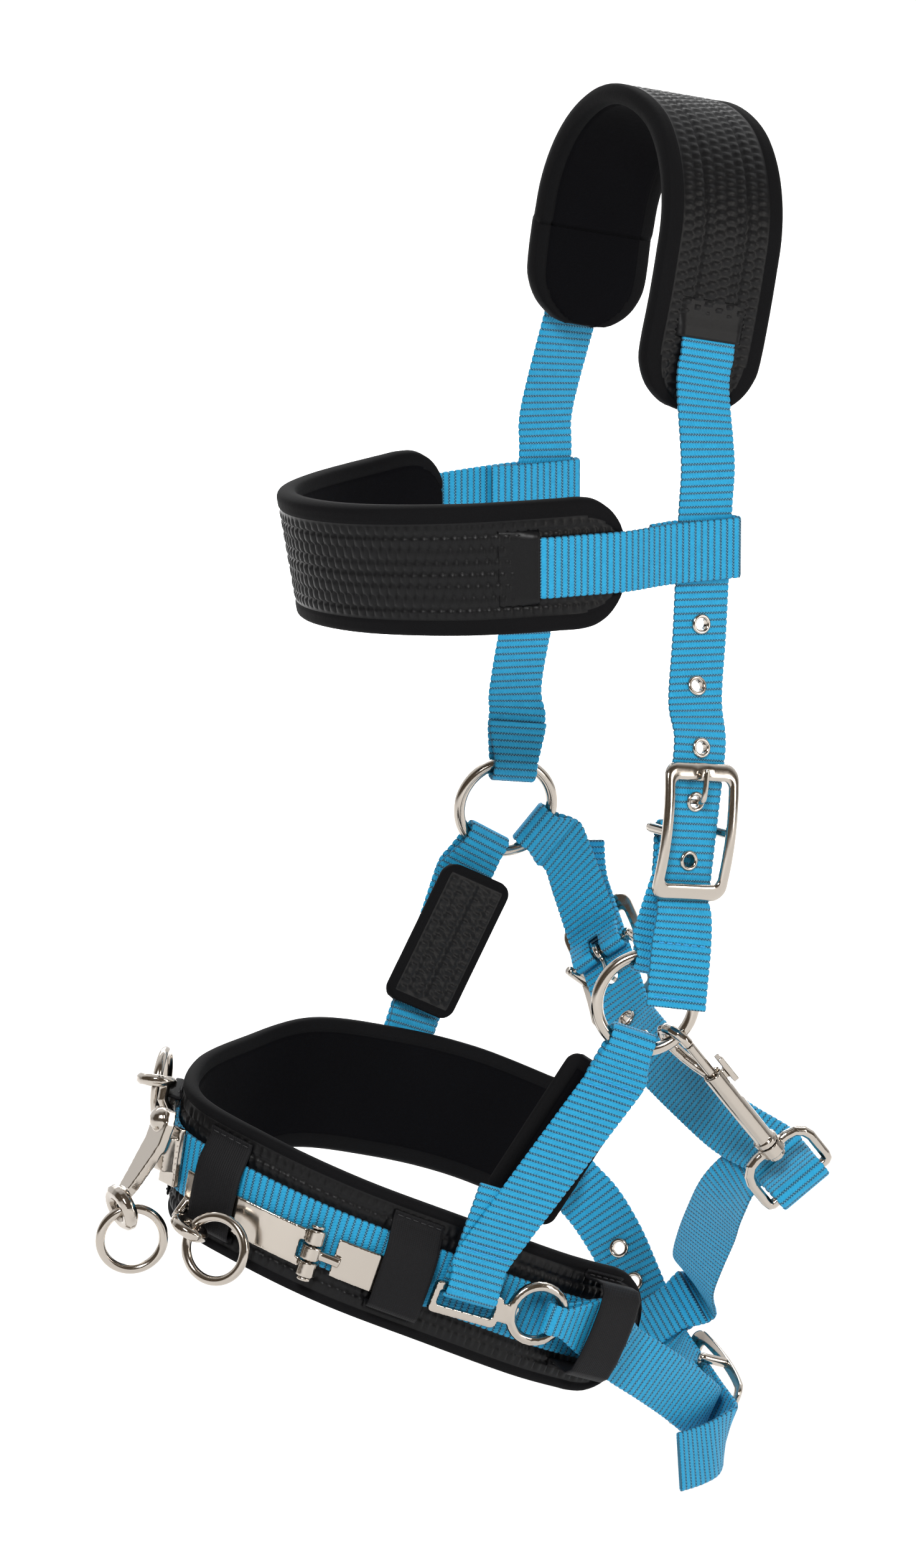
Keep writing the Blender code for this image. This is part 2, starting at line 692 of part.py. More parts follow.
def brow_loop(strap_centre, hand, pad_run, pad_outs):
    """From the sewn tail inside the crown strap, round its rear edge, and onto the pad."""
    clear = 1.0
    r = WEB_T + clear + 0.1
    rear = strap_centre.x + WEB_W / 2 + 0.6
    y = strap_centre.y

    def place(x, offset):
        return (Vector((x, y + hand * offset, strap_centre.z)), UP, WEB_W)

    tail = [place(strap_centre.x - WEB_W / 2 - 12, -0.3), place(strap_centre.x - WEB_W / 2 - 5, -1.6),
            place(strap_centre.x - WEB_W / 2, -r)]
    bend = [place(rear + r * math.sin(math.radians(a)), -r * math.cos(math.radians(a)))
            for a in range(0, 181, 30)]
    on_pad = [(pad_run[i][0] + pad_outs[i] * OVER_COVER, UP, WEB_W) for i in (0, 4, 5, 6)]
    front = [place(strap_centre.x - WEB_W / 2 - 4, r)]
    return tail + bend + front + on_pad


# ---- the lower half: cheeks, noseband, chin, throat and snap -------------------
NOSE_LINE = [   # middle of the noseband, from the near end round the nose: point, height direction
    ((-70, -63, -489), (0.37, -0.12, 0.92)),
    ((-98, -67, -478), (0.36, -0.13, 0.92)), ((-140, -65, -459), (0.32, -0.14, 0.93)),
    ((-182, -54, -440), (0.26, -0.14, 0.95)), ((-213, -33, -423), (0.20, -0.10, 0.97)),
    ((-228, 0, -411), (0.16, 0.0, 0.98)), ((-211, 31, -406), (0.20, 0.10, 0.97)),
    ((-180, 49, -403), (0.26, 0.14, 0.95)), ((-146, 58, -401), (0.30, 0.16, 0.94)),
    ((-104, 63, -411), (0.34, 0.16, 0.93)), ((-66, 65, -424), (0.36, 0.15, 0.92)),
    ((-30, 62, -441), (0.37, 0.14, 0.92)),
]


def nose_outer(centre):
    return Vector((min(centre.x + 110, 0), centre.y, 0))


class Band:
    """The noseband's middle line, measured along the strap from the front of the nose:
    negative on the near side, positive on the far side."""

    def __init__(self):
        self.run = smooth([(Vector(p), unit(*side), WEB_W) for p, side in NOSE_LINE], 6)
        self.outs = outwards(self.run, nose_outer)
        lengths = [0.0]
        for (a, _, _), (b, _, _) in zip(self.run, self.run[1:]):
            lengths.append(lengths[-1] + (b - a).length)
        front = min(range(len(self.run)), key=lambda i: self.run[i][0].x)
        self.at = [value - lengths[front] for value in lengths]

    def axes(self, s):
        """Middle point, direction away from the front, height direction, outward."""
        i = max(k for k in range(len(self.at) - 1) if self.at[k] <= s or k == 0)
        t = (s - self.at[i]) / (self.at[i + 1] - self.at[i])
        (a, side_a, _), (b, side_b, _) = self.run[i], self.run[i + 1]
        out = self.outs[i].lerp(self.outs[i + 1], t).normalized()
        height = square_to(side_a.lerp(side_b, t), out)
        away = out.cross(height) if s > 0 else height.cross(out)
        if away.dot((b - a) * (1 if s >= 0 else -1)) < 0:
            away = -away
        return a.lerp(b, t), away, height, out

    def point(self, s, h=0.0, level=0.0):
        centre, _, height, out = self.axes(s)
        return centre + height * h + out * level

    def frame(self, s, h=0.0, level=0.0):
        """Local X away from the front, local Y along the height, local Z across the band."""
        centre, away, height, out = self.axes(s)
        return basis(self.point(s, h, level), away, out)


def build_noseband(body, band):
    run = band.run
    pad = rounded_ends(run, NOSE_W, 22.0)
    pad_outs = outwards(pad, nose_outer)
    strip("noseband_pad", shifted(pad, [-(WEB_T / 2 + GAP + 3.0)] * len(pad), pad_outs),
          "cover", 6.0, body)
    strip("noseband_strap", run, "webbing", WEB_T, body)


PLATE_T, PLATE_LEVEL = 2.4, 2.9         # nose iron: plate thickness, and level on the strap
IRON_H = -7.0                            # the iron lies below the near strap's middle
HINGE_S, HINGE_LEVEL = 69.0, 5.4
FITTING_LEVEL = 6.2
KEEPERS = (     # name, place along the band, half width, what it crosses
    ("near_front_keeper", -25.5, 9.5, "iron"), ("near_middle_keeper", -108.0, 11.0, "iron"),
    ("near_rear_keeper", -197.5, 10.0, "strap"), ("far_front_keeper", 25.0, 10.0, "iron"),
    ("far_middle_keeper", 108.0, 11.0, "iron"), ("far_rear_keeper", 224.5, 9.5, "strap"),
)


def build_keeper(name, band, s, half, crosses, body):
    """A loop sewn to the pad on both sides of the strap, following the band's curve."""
    hand = -1 if s < 0 else 1
    if crosses == "iron":
        flat = [(-21.5, -0.35), (-18.0, -0.35), (-17.2, 5.6), (4.5, 5.6), (13.8, 1.95),
                (18.0, -0.35), (21.5, -0.35)]
        if hand > 0:
            flat = [(-h, level) for h, level in flat][::-1]
    else:
        middle = 3.0 if hand < 0 else 4.4
        flat = [(-21.5, -0.35), (-18.4, -0.35), (-17.2, 14.6), (17.2, 14.6), (18.4, -0.35),
                (21.5, -0.35)]
        flat = [(h + middle, level) for h, level in flat]
    shape = bmesh.new()
    columns = [s + half * k / 3 for k in range(-3, 4)]
    grid = [[shape.verts.new(band.point(c, h, level) * MM) for h, level in flat] for c in columns]
    for left, right in zip(grid, grid[1:]):
        for k in range(len(flat) - 1):
            shape.faces.new((left[k], left[k + 1], right[k + 1], right[k]))
    made = add_object(name, finish_mesh(name, shape), "keeper", body)
    shell = made.modifiers.new("thickness", "SOLIDIFY")
    shell.thickness = 1.2 * MM
    shell.offset = 0.0
    shell.use_even_offset = True


def band_strip(name, band, start, end, h, level, width, kind, thickness, body, steps=8):
    """A plate that follows the band, its width given at its two ends."""
    stations = []
    for k in range(steps + 1):
        t = k / steps
        s = start + (end - start) * t
        stations.append((band.point(s, h, level), band.axes(s)[2],
                         width[0] + (width[1] - width[0]) * t))
    return strip(name, stations, kind, thickness, body)


def build_iron(band, body, hand):
    """One side of the nose iron: plate, hinge, pin, end plate, eye and ring."""
    side = "near" if hand < 0 else "far"
    h = -IRON_H * hand
    hinge_at = band.point(hand * HINGE_S, h, HINGE_LEVEL)
    _, away, height, out = band.axes(hand * HINGE_S)
    plate_body = joint_empty(f"{side}_iron_joint", hinge_at, height)
    plate_body.parent = body
    plate_body.matrix_parent_inverse = body.matrix_world.inverted()
    bpy.context.view_layer.update()

    side_plate = band_strip(f"{side}_iron_plate", band, hand * 11.0, hand * (HINGE_S - 2.0), h,
                            PLATE_LEVEL, (15.0, 16.0), "nickel", PLATE_T, plate_body)
    cut(side_plate, bar_between("gap", hinge_at - height * 3.7, hinge_at + height * 3.7, 6.0),
        f"{side}_plate_gap")
    for low, high in ((-10.0, -3.7), (3.7, 10.0)):
        union(side_plate, bar_between("knuckle", hinge_at + height * low, hinge_at + height * high,
                                      4.0), f"{side}_plate_knuckle")
    cut(side_plate, bar_between("bore", hinge_at - height * 12, hinge_at + height * 12, 1.85),
        f"{side}_plate_bore")

    end_plate = band_strip(f"{side}_iron_end_plate", band, hand * 78.5, hand * 107.0, h + hand * -1.5,
                           PLATE_LEVEL, (16.0, 16.0), "nickel", PLATE_T, body)
    arm = bar_between("arm", hinge_at + away * 1.0, band.point(hand * 81.0, h, PLATE_LEVEL + 1.0), 2.1)
    union(end_plate, arm, f"{side}_end_arm")
    union(end_plate, bar_between("knuckle", hinge_at - height * 2.9, hinge_at + height * 2.9, 4.0),
          f"{side}_end_knuckle")
    cut(end_plate, bar_between("bore", hinge_at - height * 12, hinge_at + height * 12, 1.85),
        f"{side}_end_bore")

    pin = add_object(f"{side}_iron_pin", bar_between("pin", hinge_at - height * 11.0,
                                                     hinge_at + height * 11.0, 1.5), "nickel", body)
    for end in (-1, 1):
        union(pin, bar_between("head", hinge_at + height * end * 10.4,
                               hinge_at + height * end * 11.8, 3.0), f"{side}_pin_head")

    # The eye at the plate's front corner, and the ring through it.
    if hand < 0:
        eye = band.point(-23.0, -17.5, 14.8)
        hang = unit(0.456, -0.75, -0.49)
        flat = unit(-0.785, -0.59, 0.18)
    else:
        eye = band.point(16.0, 24.0, 10.0)
        _, ahead, tall, outward = band.axes(34.0)
        hang = (ahead * 0.96 - tall * 0.1 + outward * 0.1).normalized()
        flat = square_to(outward, hang)
    through = flat.cross(hang).normalized()
    root_at = band.point(hand * 12.5, hand * 12.0, PLATE_LEVEL)
    knee = band.point(hand * 11.5, hand * 18.5, 6.8)
    rim = eye + square_to(knee - eye, through) * 6.0
    union(side_plate, ring_mesh("eye", eye, through, 6.0, 2.6), f"{side}_eye")
    union(side_plate, rod_mesh("neck", [root_at, knee, rim], 2.3), f"{side}_eye_neck")
    ring_at = eye + hang * (NOSE_RING_R + 1.1)
    swing = joint_empty(f"{side}_nose_ring_joint", eye + hang * 6.0, hang.cross(through))
    swing.parent = plate_body
    swing.matrix_parent_inverse = plate_body.matrix_world.inverted()
    bpy.context.view_layer.update()
    torus(f"{side}_nose_ring", ring_at, flat, NOSE_RING_R, NOSE_WIRE, swing, 32, 10)


def build_nose_centre(band, body):
    """The middle bracket, standing off the strap, with the line ring in its eye."""
    base = band.frame(0.01, 1.0, 3.3)
    plate_mesh_made = box("base", base, (13.0, 24.0, 3.0))
    made = add_object("centre_bracket", plate_mesh_made, "nickel", body)
    post = band.frame(0.01, 2.0, 7.0)
    union(made, box("post", post, (12.0, 14.0, 7.0)), "bracket_post")
    path = [(20.0, 9.0), (14.0, 9.6), (6.0, 11.6), (0.0, 14.5), (-7.0, 18.0), (-13.0, 21.2), (-16.0, 23.0)]
    stations = [(band.point(0.01, h, level), band.axes(0.01)[1], w)
                for (h, level), w in zip(path, (11.0, 13.0, 13.0, 12.0, 10.0, 8.5, 6.5))]
    arm = strip("arm", stations, None, 4.2)
    bpy.context.view_layer.update()
    graph = bpy.context.evaluated_depsgraph_get()
    arm_mesh = bpy.data.meshes.new_from_object(arm.evaluated_get(graph))
    bpy.data.objects.remove(arm, do_unlink=True)
    union(made, arm_mesh, "bracket_arm")
    rivet = band.point(0.01, 15.5, 10.4)
    dome = bmesh.new()
    bmesh.ops.create_uvsphere(dome, u_segments=16, v_segments=10, radius=5.2 * MM)
    union(made, finish_mesh("dome", dome, Matrix.Translation(rivet)), "bracket_rivet")
    eye = Vector((-254.0, 0.0, -428.5))
    through = unit(-0.92, 0.0, -0.3)
    union(made, ring_mesh("eye", eye, through, 7.0, 3.2), "bracket_eye")
    hang = unit(0.31, 0.0, -0.95)
    ring_at = eye + hang * (NOSE_RING_R + 1.4)
    swing = joint_empty("centre_ring_joint", eye + hang * 7.0, Vector((0, 1, 0)))
    swing.parent = body
    swing.matrix_parent_inverse = body.matrix_world.inverted()
    bpy.context.view_layer.update()
    torus("centre_nose_ring", ring_at, square_to(Vector((-0.35, -0.93, 0.1)), hang), NOSE_RING_R,
          NOSE_WIRE, swing, 32, 10)


def build_fitting(name, band, s, h, body):
    """A slotted plate with a ring at its rear; returns the slot's frame and the ring centre."""
    slot = band.frame(s, h, FITTING_LEVEL)
    centre, away, height, out = band.axes(s)
    slot_at = band.point(s, h, FITTING_LEVEL)
    outlines = [outline_points(31.0, 13.5, 2.0, 3), outline_points(26.0, 6.4, 1.2, 2)]
    ring_at = slot_at + away * 31.6 + height * 4.0
    made = add_object(name, plate_mesh(name, slot, outlines, 3.0), "nickel", body)
    neck = basis(slot_at + away * 18.6 + height * 0.5, away, out)
    union(made, box("neck", neck, (9.0, 8.0, 2.6)), name + "_neck")
    union(made, ring_mesh("ring", ring_at, out, 11.6, 2.3), name + "_ring")
    return slot_at, ring_at, away, height, out


PAD_STOP = {"near": 62.0, "far": 54.0}     # how much shorter the liner's straight part is
PAD_SHIFT = {"near": 0.0, "far": 6.0}      # how far forward its lower end lies
PAD_LEVEL = {"near": 7.4, "far": 6.4}      # from the strap's middle to the liner's
BAR_LOOP = 3.5                           # centre line of a strap round a 3.5 x 3 mm bar


def build_cheek(side, ring, ring_n, degrees, fitting, body):
    """The folded cheek strap between a cheek ring and a fitting's slot, and its liner."""
    slot_at, _, away, height, out = fitting
    bar = slot_at + height * 4.95
    ring_bar, ring_away = on_ring(ring, ring_n, degrees)
    along = square_to((ring_bar - bar), away)
    low = looped_end(bar, along.normalized(), out, away, BAR_LOOP, tail=44.0, pinch=23.4)
    low = [(c, s, min(w, 23.4) if i < 11 else w) for i, (c, s, w) in enumerate(low)]
    tangent = ring_n.cross(ring_away)
    down = square_to(bar - ring_bar, tangent)
    down = square_to(down, ring_n)
    high = looped_end(ring_bar, down, ring_n, away,
                      RING_WIRE + 0.4 + WEB_T / 2, depth=3.8, pinch=PINCH_W, tail=18.0)
    double_strap(f"{side}_cheek_strap", high, low, body)
    run = (bar - ring_bar)
    length = run.length
    face = (ring_n + out).normalized()
    face = square_to(face, run.normalized())
    across = run.cross(face).normalized()
    forward = across if across.x < 0 else -across
    line = []
    for k in range(5):
        d = 18.0 + (length - PAD_STOP[side]) * k / 4
        middle = ring_bar + run.normalized() * d - face * PAD_LEVEL[side] + forward * (PAD_SHIFT[side] * k / 4)
        line.append((middle, across, 34.0))
    strip(f"{side}_cheek_pad", rounded_ends(line, 34.0, 6.0), "cover", 4.0, body)


CHIN_BAR = Vector((2.5, -12, -535))
CHIN_RUN = unit(0.162, 0.957, 0.236)      # from the near strap's end towards the far strap
CHIN_OUT = square_to(Vector((0.944, -0.081, -0.318)), CHIN_RUN)
CHIN_SIDE = -CHIN_RUN.cross(CHIN_OUT)


def build_chin(band, near_fitting, far_fitting, body):
    """The two chin straps, joined by the chin buckle below the jaw."""
    tongue = joint_empty("chin_tongue_joint", CHIN_BAR, CHIN_RUN.cross(CHIN_OUT))
    tongue.parent = body
    tongue.matrix_parent_inverse = body.matrix_world.inverted()
    bpy.context.view_layer.update()
    buckle("chin_buckle", basis(CHIN_BAR, CHIN_RUN, CHIN_OUT), body, tongue)
    # near strap: round the near fitting's ring, back under the keeper, round the buckle's bar
    _, ring_at, away, height, out = near_fitting
    bar = ring_at + away * 11.6
    inward = (away - out * 0.165).normalized()
    start = looped_end(bar, inward, out, height, 3.6, depth=4.4, pinch=13.0, tail=16.0)
    end = looped_end(CHIN_BAR, -CHIN_RUN, CHIN_OUT, CHIN_SIDE, BAR_R + GAP + WEB_T / 2, tail=16.0)
    first = start[-1][0]
    points = [first, first + inward * 9, Vector((-60, -66.5, -498)), Vector((-43, -62, -510)),
              Vector((-26, -55, -522)), Vector((-12, -48, -533)), Vector((-3, -37.5, -540)),
              end[-1][0]]
    hints = [height, height, Vector((.36, -.15, .92)), Vector((.35, -.18, .92)),
             Vector((.34, -.2, .92)), Vector((.32, -.24, .92)), CHIN_SIDE, CHIN_SIDE]
    middle = smooth(ribbon(points, hints), 3)
    strip("near_chin_strap", start[:-1] + middle + end[::-1][1:], "webbing", WEB_T, body,
          slots=((len(start) - 1 + len(middle), len(start) + len(middle) + len(end) - 5),))
    # far strap: round the far fitting's ring, down and across, through the buckle, free tail
    _, ring_at, away, height, out = far_fitting
    bar = ring_at + away * 11.6
    inward = (away - out * 0.165).normalized()
    start = looped_end(bar, inward, out, height, 3.6, depth=4.4, pinch=13.0, tail=16.0)
    first = start[-1][0]
    run, up = CHIN_RUN, CHIN_SIDE
    inside = [CHIN_BAR + run * x + CHIN_OUT * STRAP_LEVEL for x in (39, 28, 8, -16, -33)]
    points = [first, first + inward * 10, Vector((-14, 64.5, -458)), Vector((-3, 60, -472)),
              Vector((4, 53, -487)), Vector((6.5, 44, -500)), Vector((9.5, 36, -513))] + inside
    points += [Vector((-2, -50, -546)), Vector((-10, -56, -548)), Vector((-20, -60, -549)),
               Vector((-31, -64, -549))]
    hints = [height, height, Vector((.42, .1, .9)), Vector((.5, -.15, .8)),
             Vector((.58, -.38, .66)), Vector((.6, -.5, .6)), Vector((.5, -.5, .7))]
    hints += [up] * 5 + [Vector((.1, -.1, .98)), Vector((-.05, .0, .99)), Vector((-.1, .05, .99)),
                         Vector((-.1, .05, .99))]
    line = smooth(ribbon(points, hints), 3)
    strap = strip("far_chin_strap", start[:-1] + line, "webbing", WEB_T, body)
    for number, index in enumerate((12, 15), 1):
        centre, normal = on_strap(line, index, 0.5)
        eyelet(f"chin_eyelet_{number}", centre, normal, body)
        punch(strap, centre, normal)
    hole = CHIN_BAR + run * TONGUE_HOLE + CHIN_OUT * STRAP_LEVEL
    punch(strap, hole, CHIN_OUT)
    return line


THROAT_BAR = Vector((4.5, 70, -365))
THROAT_RUN = unit(-0.15, -0.80, -0.58)
THROAT_SIDE = square_to(Vector((0.6, -0.2, 0.77)), THROAT_RUN)
THROAT_OUT = -THROAT_RUN.cross(THROAT_SIDE)
SNAP_AXIS = unit(0.62, 0.05, -0.735)
D_AXIS = square_to(Vector((0.712, -0.218, 0.668)), SNAP_AXIS)      # along the D loop's bar
D_WIRE = 2.25
THROAT_END = unit(-0.158, 0.928, 0.338)   # from the D loop along the throat strap


def build_throat(body, d_bar):
    """The throat strap: a short end on the far ring with a buckle, a long end on the snap."""
    tongue = joint_empty("throat_tongue_joint", THROAT_BAR, THROAT_RUN.cross(THROAT_OUT))
    tongue.parent = body
    tongue.matrix_parent_inverse = body.matrix_world.inverted()
    bpy.context.view_layer.update()
    buckle("throat_buckle", basis(THROAT_BAR, THROAT_RUN, THROAT_OUT), body, tongue)
    ring_bar, ring_away = on_ring(FAR_RING, FAR_RING_N, -35.0)
    like = THROAT_SIDE
    top = looped_end(THROAT_BAR, -THROAT_RUN, THROAT_OUT, like, BAR_R + GAP + WEB_T / 2, tail=9.0,
                     lead=8.0)
    top.append((THROAT_BAR - THROAT_RUN * 14 + THROAT_OUT * LAYER / 2, top[-1][1], WEB_W))
    towards = (THROAT_BAR - THROAT_RUN * 14 - ring_bar)
    ring_side = square_to(like, ring_away)
    low_away = square_to(ring_away + towards.normalized() * 0.4, ring_side)
    low = looped_end(ring_bar, low_away, FAR_RING_N, like, RING_WIRE + 0.4 + WEB_T / 2, depth=3.8,
                     pinch=PINCH_W, tail=9.0, lead=8.0)
    low.append((low[-1][0] + low_away * 5, low[-1][1], WEB_W))
    double_strap("throat_buckle_strap", top, low, body, slots=((1, len(top) - 2),))
    # the long strap
    run, out = THROAT_RUN, THROAT_OUT
    tail = [THROAT_BAR + out * STRAP_LEVEL - run * 32]
    tail = [Vector((7, 96, -322)), Vector((8.5, 97.5, -333)), Vector((10.5, 97.5, -343))] + tail
    inside = [THROAT_BAR + out * STRAP_LEVEL + run * x for x in (-18, 0, 18, 34)]
    points = tail + inside + [Vector((0.5, 27, -392)), Vector((0, 8, -398)), Vector((0, -20, -406)),
                              Vector((1.5, -48, -414))]
    away = square_to(THROAT_END, D_AXIS)
    end = looped_end(d_bar, away, square_to(-SNAP_AXIS, away), D_AXIS, D_WIRE + 1.4 + WEB_T / 2,
                     tail=22.0, pinch=24.0)
    points += [end[-1][0] + away * 8, end[-1][0]]
    hints = [like] * (len(points) - 2) + [D_AXIS, D_AXIS]
    line = smooth(ribbon(points, hints), 3)
    strap = strip("throat_strap", line + end[::-1][1:], "webbing", WEB_T, body)
    for number, index in enumerate((21, 24), 1):
        centre, normal = on_strap(line, index, 0.4)
        eyelet(f"throat_eyelet_{number}", centre, normal, body)
        punch(strap, centre, normal)
    punch(strap, THROAT_BAR + run * TONGUE_HOLE + out * STRAP_LEVEL, out)
    return line


def build_connector(body, chin_line, d_bar):
    """The short double strap that ties the throat strap to the chin strap."""
    index = 19
    chin_at, chin_normal = on_strap(chin_line, index, 0.0)
    ahead = (chin_line[index + 1][0] - chin_line[index][0]).normalized()
    width = square_to(chin_line[index][1], ahead)
    if chin_normal.x < 0:
        chin_normal = -chin_normal
    edge = chin_at + width * 12.8
    start = looped_end(edge, width, chin_normal, ahead, 4.4, depth=25.8, tail=10.0, pinch=20.0,
                       lead=8.0)
    first = start[-1][0]
    away = square_to(THROAT_END, D_AXIS)
    under = away.cross(D_AXIS)
    sewn = d_bar + away * 28 + under * 5.2
    points = [first, first + width * 5, Vector((12.9, 3.0, -491.0)), Vector((6.8, -13.0, -476.3)),
              Vector((1.9, -31.0, -459.8)), Vector((-2.5, -48.0, -444.3)), sewn - D_AXIS * 14, sewn, sewn + D_AXIS * 7]
    hints = [start[-1][1], start[-1][1], Vector((.30, -.80, -.50)), Vector((.36, -.88, -.30)),
             Vector((.38, -.90, -.18)), Vector((.30, -.92, -.25)), -away, -away, -away]
    line = smooth(ribbon(points, hints), 3)
    strip("connector_strap", start[:-1] + line, "webbing", WEB_T, body)


def build_snap(body):
    """The bolt snap from the near ring to the throat strap."""
    wire_at, _ = on_ring(NEAR_RING, NEAR_RING_N, -51.0)
    in_view = D_AXIS                       # across the snap, in the plane of the D loop
    facing = SNAP_AXIS.cross(in_view)
    turn = math.radians(70)
    across = in_view * math.cos(turn) + facing * math.sin(turn)
    frame = basis(wire_at, SNAP_AXIS, SNAP_AXIS.cross(across))

    def at(x, y=0.0, z=0.0):
        return frame @ Vector((x, y + 7.0, z))

    def axis_bar(name, x0, x1, radius):
        return bar_between(name, at(x0), at(x1), radius)

    hook = [(2.2, 0), (-1.0, -0.3), (-3.6, -2.0), (-5.4, -4.8), (-6.0, -8.0), (-4.8, -11.2),
            (-2.0, -13.6), (2.0, -14.6), (7.0, -14.2), (12.0, -12.0), (17.0, -8.0), (21.0, -3.5),
            (25.0, -1.0)]
    made = add_object("snap_body", axis_bar("barrel", 20.0, 60.0, 4.2), "nickel", body)
    union(made, rod_mesh("hook", [at(x, y) for x, y in hook], 2.4), "snap_hook")
    union(made, axis_bar("neck", 59.0, 69.0, 2.3), "snap_neck")
    union(made, axis_bar("collar", 59.5, 62.0, 5.2), "snap_collar")
    union(made, axis_bar("head", 68.2, 70.4, 3.8), "snap_head")
    cut(made, axis_bar("bore", 14.0, 42.0, 2.35), "snap_bore")
    # the thumb lug's slot, on the side away from the hook as seen square to the D loop
    lug_dir = (in_view * 1.0).normalized()
    slot = basis(at(28.5) + lug_dir * 4.0, SNAP_AXIS, SNAP_AXIS.cross(lug_dir))
    cut(made, box("slot", slot, (17.0, 9.0, 3.2)), "snap_slot")

    bolt_body = joint_empty("snap_bolt_joint", at(12.0), SNAP_AXIS)
    bolt_body.parent = body
    bolt_body.matrix_parent_inverse = body.matrix_world.inverted()
    bpy.context.view_layer.update()
    bolt = add_object("snap_bolt", axis_bar("bolt", 2.7, 32.0, 2.0), "nickel", bolt_body)
    stem = basis(at(23.5) + lug_dir * 3.4, SNAP_AXIS, SNAP_AXIS.cross(lug_dir))
    union(bolt, box("stem", stem, (4.0, 6.8, 2.4)), "bolt_stem")
    thumb = basis(at(22.0) + lug_dir * 6.2, SNAP_AXIS, SNAP_AXIS.cross(lug_dir))
    union(bolt, box("thumb", thumb, (13.0, 2.4, 5.0)), "bolt_thumb")

    swivel_body = joint_empty("snap_swivel_joint", at(65.0), SNAP_AXIS)
    swivel_body.parent = body
    swivel_body.matrix_parent_inverse = body.matrix_world.inverted()
    bpy.context.view_layer.update()
    d_frame = basis(at(0), SNAP_AXIS, SNAP_AXIS.cross(in_view))

    def d_at(x, y):
        return d_frame @ Vector((x, y, 0))
    half = 15.6
    path = [(65.4, 3.5), (65.4, 7.5), (66.4, 11.5), (69.4, 14.4), (73.0, half), (84.0, half),
            (86.3, half - 0.4), (87.0, half - 1.6), (87.0, 0)]
    path += [(x, -y) for x, y in path[::-1][1:]]
    wire = [d_at(x, y) for x, y in path]
    loop = add_object("snap_swivel_loop", rod_mesh("loop", wire, D_WIRE), "nickel", swivel_body)
    union(loop, axis_bar("eye", 62.6, 67.8, 5.2), "swivel_eye")
    cut(loop, axis_bar("eye_bore", 60.0, 70.0, 2.7), "swivel_bore")
    return d_at(87.0, 0.0)


def main():
    root = None
    run, outs = build_crown(root)
    crown_strap, crown_line = build_crown_strap(root, run, outs)
    tongue = joint_empty("crown_tongue_joint", BUCKLE_BAR, BUCKLE_SIDE)
    build_crown_fittings(root, tongue, crown_strap, crown_line)
    brow = joint_empty("browband_joint", Vector((-24, 0, BROW_Z)), SLIDE)
    build_browband(brow)

    lower = joint_empty("lower_joint", (NEAR_RING + FAR_RING) / 2, SWING_AXIS)
    near_turn = joint_empty("near_ring_joint", NEAR_RING, NEAR_RING_N)
    far_turn = joint_empty("far_ring_joint", FAR_RING, FAR_RING_N)
    for turn in (near_turn, far_turn):
        turn.parent = lower
        turn.matrix_parent_inverse = lower.matrix_world.inverted()
    bpy.context.view_layer.update()
    torus("near_ring", NEAR_RING, NEAR_RING_N, RING_R, RING_WIRE, near_turn)
    torus("far_ring", FAR_RING, FAR_RING_N, RING_R, RING_WIRE, far_turn)

    band = Band()
    build_noseband(lower, band)
    for name, s, half, crosses in KEEPERS:
        build_keeper(name, band, s, half, crosses, lower)
    build_nose_centre(band, lower)
    build_iron(band, lower, -1)
    build_iron(band, lower, 1)
    near_fitting = build_fitting("near_side_fitting", band, -136.0, -4.0, lower)
    far_fitting = build_fitting("far_side_fitting", band, 163.0, 1.0, lower)
    build_cheek("near", NEAR_RING, NEAR_RING_N, -110.0, near_fitting, lower)
    build_cheek("far", FAR_RING, FAR_RING_N, -118.0, far_fitting, lower)
    chin_line = build_chin(band, near_fitting, far_fitting, lower)
    d_bar = build_snap(lower)
    build_throat(lower, d_bar)
    build_connector(lower, chin_line, d_bar)


main()
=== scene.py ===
"""Looks of a padded webbing head halter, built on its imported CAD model.

The straps follow the same lines as the CAD straps, so their construction is repeated
here; every piece gets its ribs, quilting, stitches and rounded edges.
"""
import json
import math

import bmesh
import bpy
from mathutils import Matrix, Vector

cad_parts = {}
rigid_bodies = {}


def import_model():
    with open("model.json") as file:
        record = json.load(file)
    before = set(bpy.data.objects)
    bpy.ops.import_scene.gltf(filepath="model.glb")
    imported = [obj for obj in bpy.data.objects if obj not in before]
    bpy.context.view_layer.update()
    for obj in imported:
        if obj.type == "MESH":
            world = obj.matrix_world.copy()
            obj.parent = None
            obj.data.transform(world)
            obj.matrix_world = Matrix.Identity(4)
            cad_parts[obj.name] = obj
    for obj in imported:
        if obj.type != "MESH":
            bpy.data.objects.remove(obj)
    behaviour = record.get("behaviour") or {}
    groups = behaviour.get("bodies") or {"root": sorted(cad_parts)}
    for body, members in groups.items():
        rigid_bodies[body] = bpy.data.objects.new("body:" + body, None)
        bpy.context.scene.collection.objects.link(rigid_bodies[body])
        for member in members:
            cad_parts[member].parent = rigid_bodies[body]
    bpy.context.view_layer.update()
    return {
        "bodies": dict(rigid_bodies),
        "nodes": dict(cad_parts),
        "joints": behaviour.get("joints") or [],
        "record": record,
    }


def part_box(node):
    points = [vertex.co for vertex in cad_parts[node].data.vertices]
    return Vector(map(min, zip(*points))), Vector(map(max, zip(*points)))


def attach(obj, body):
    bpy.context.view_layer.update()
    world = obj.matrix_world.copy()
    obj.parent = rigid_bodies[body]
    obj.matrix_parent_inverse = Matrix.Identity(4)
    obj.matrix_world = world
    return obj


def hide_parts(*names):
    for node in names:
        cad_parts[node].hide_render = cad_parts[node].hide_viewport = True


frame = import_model()

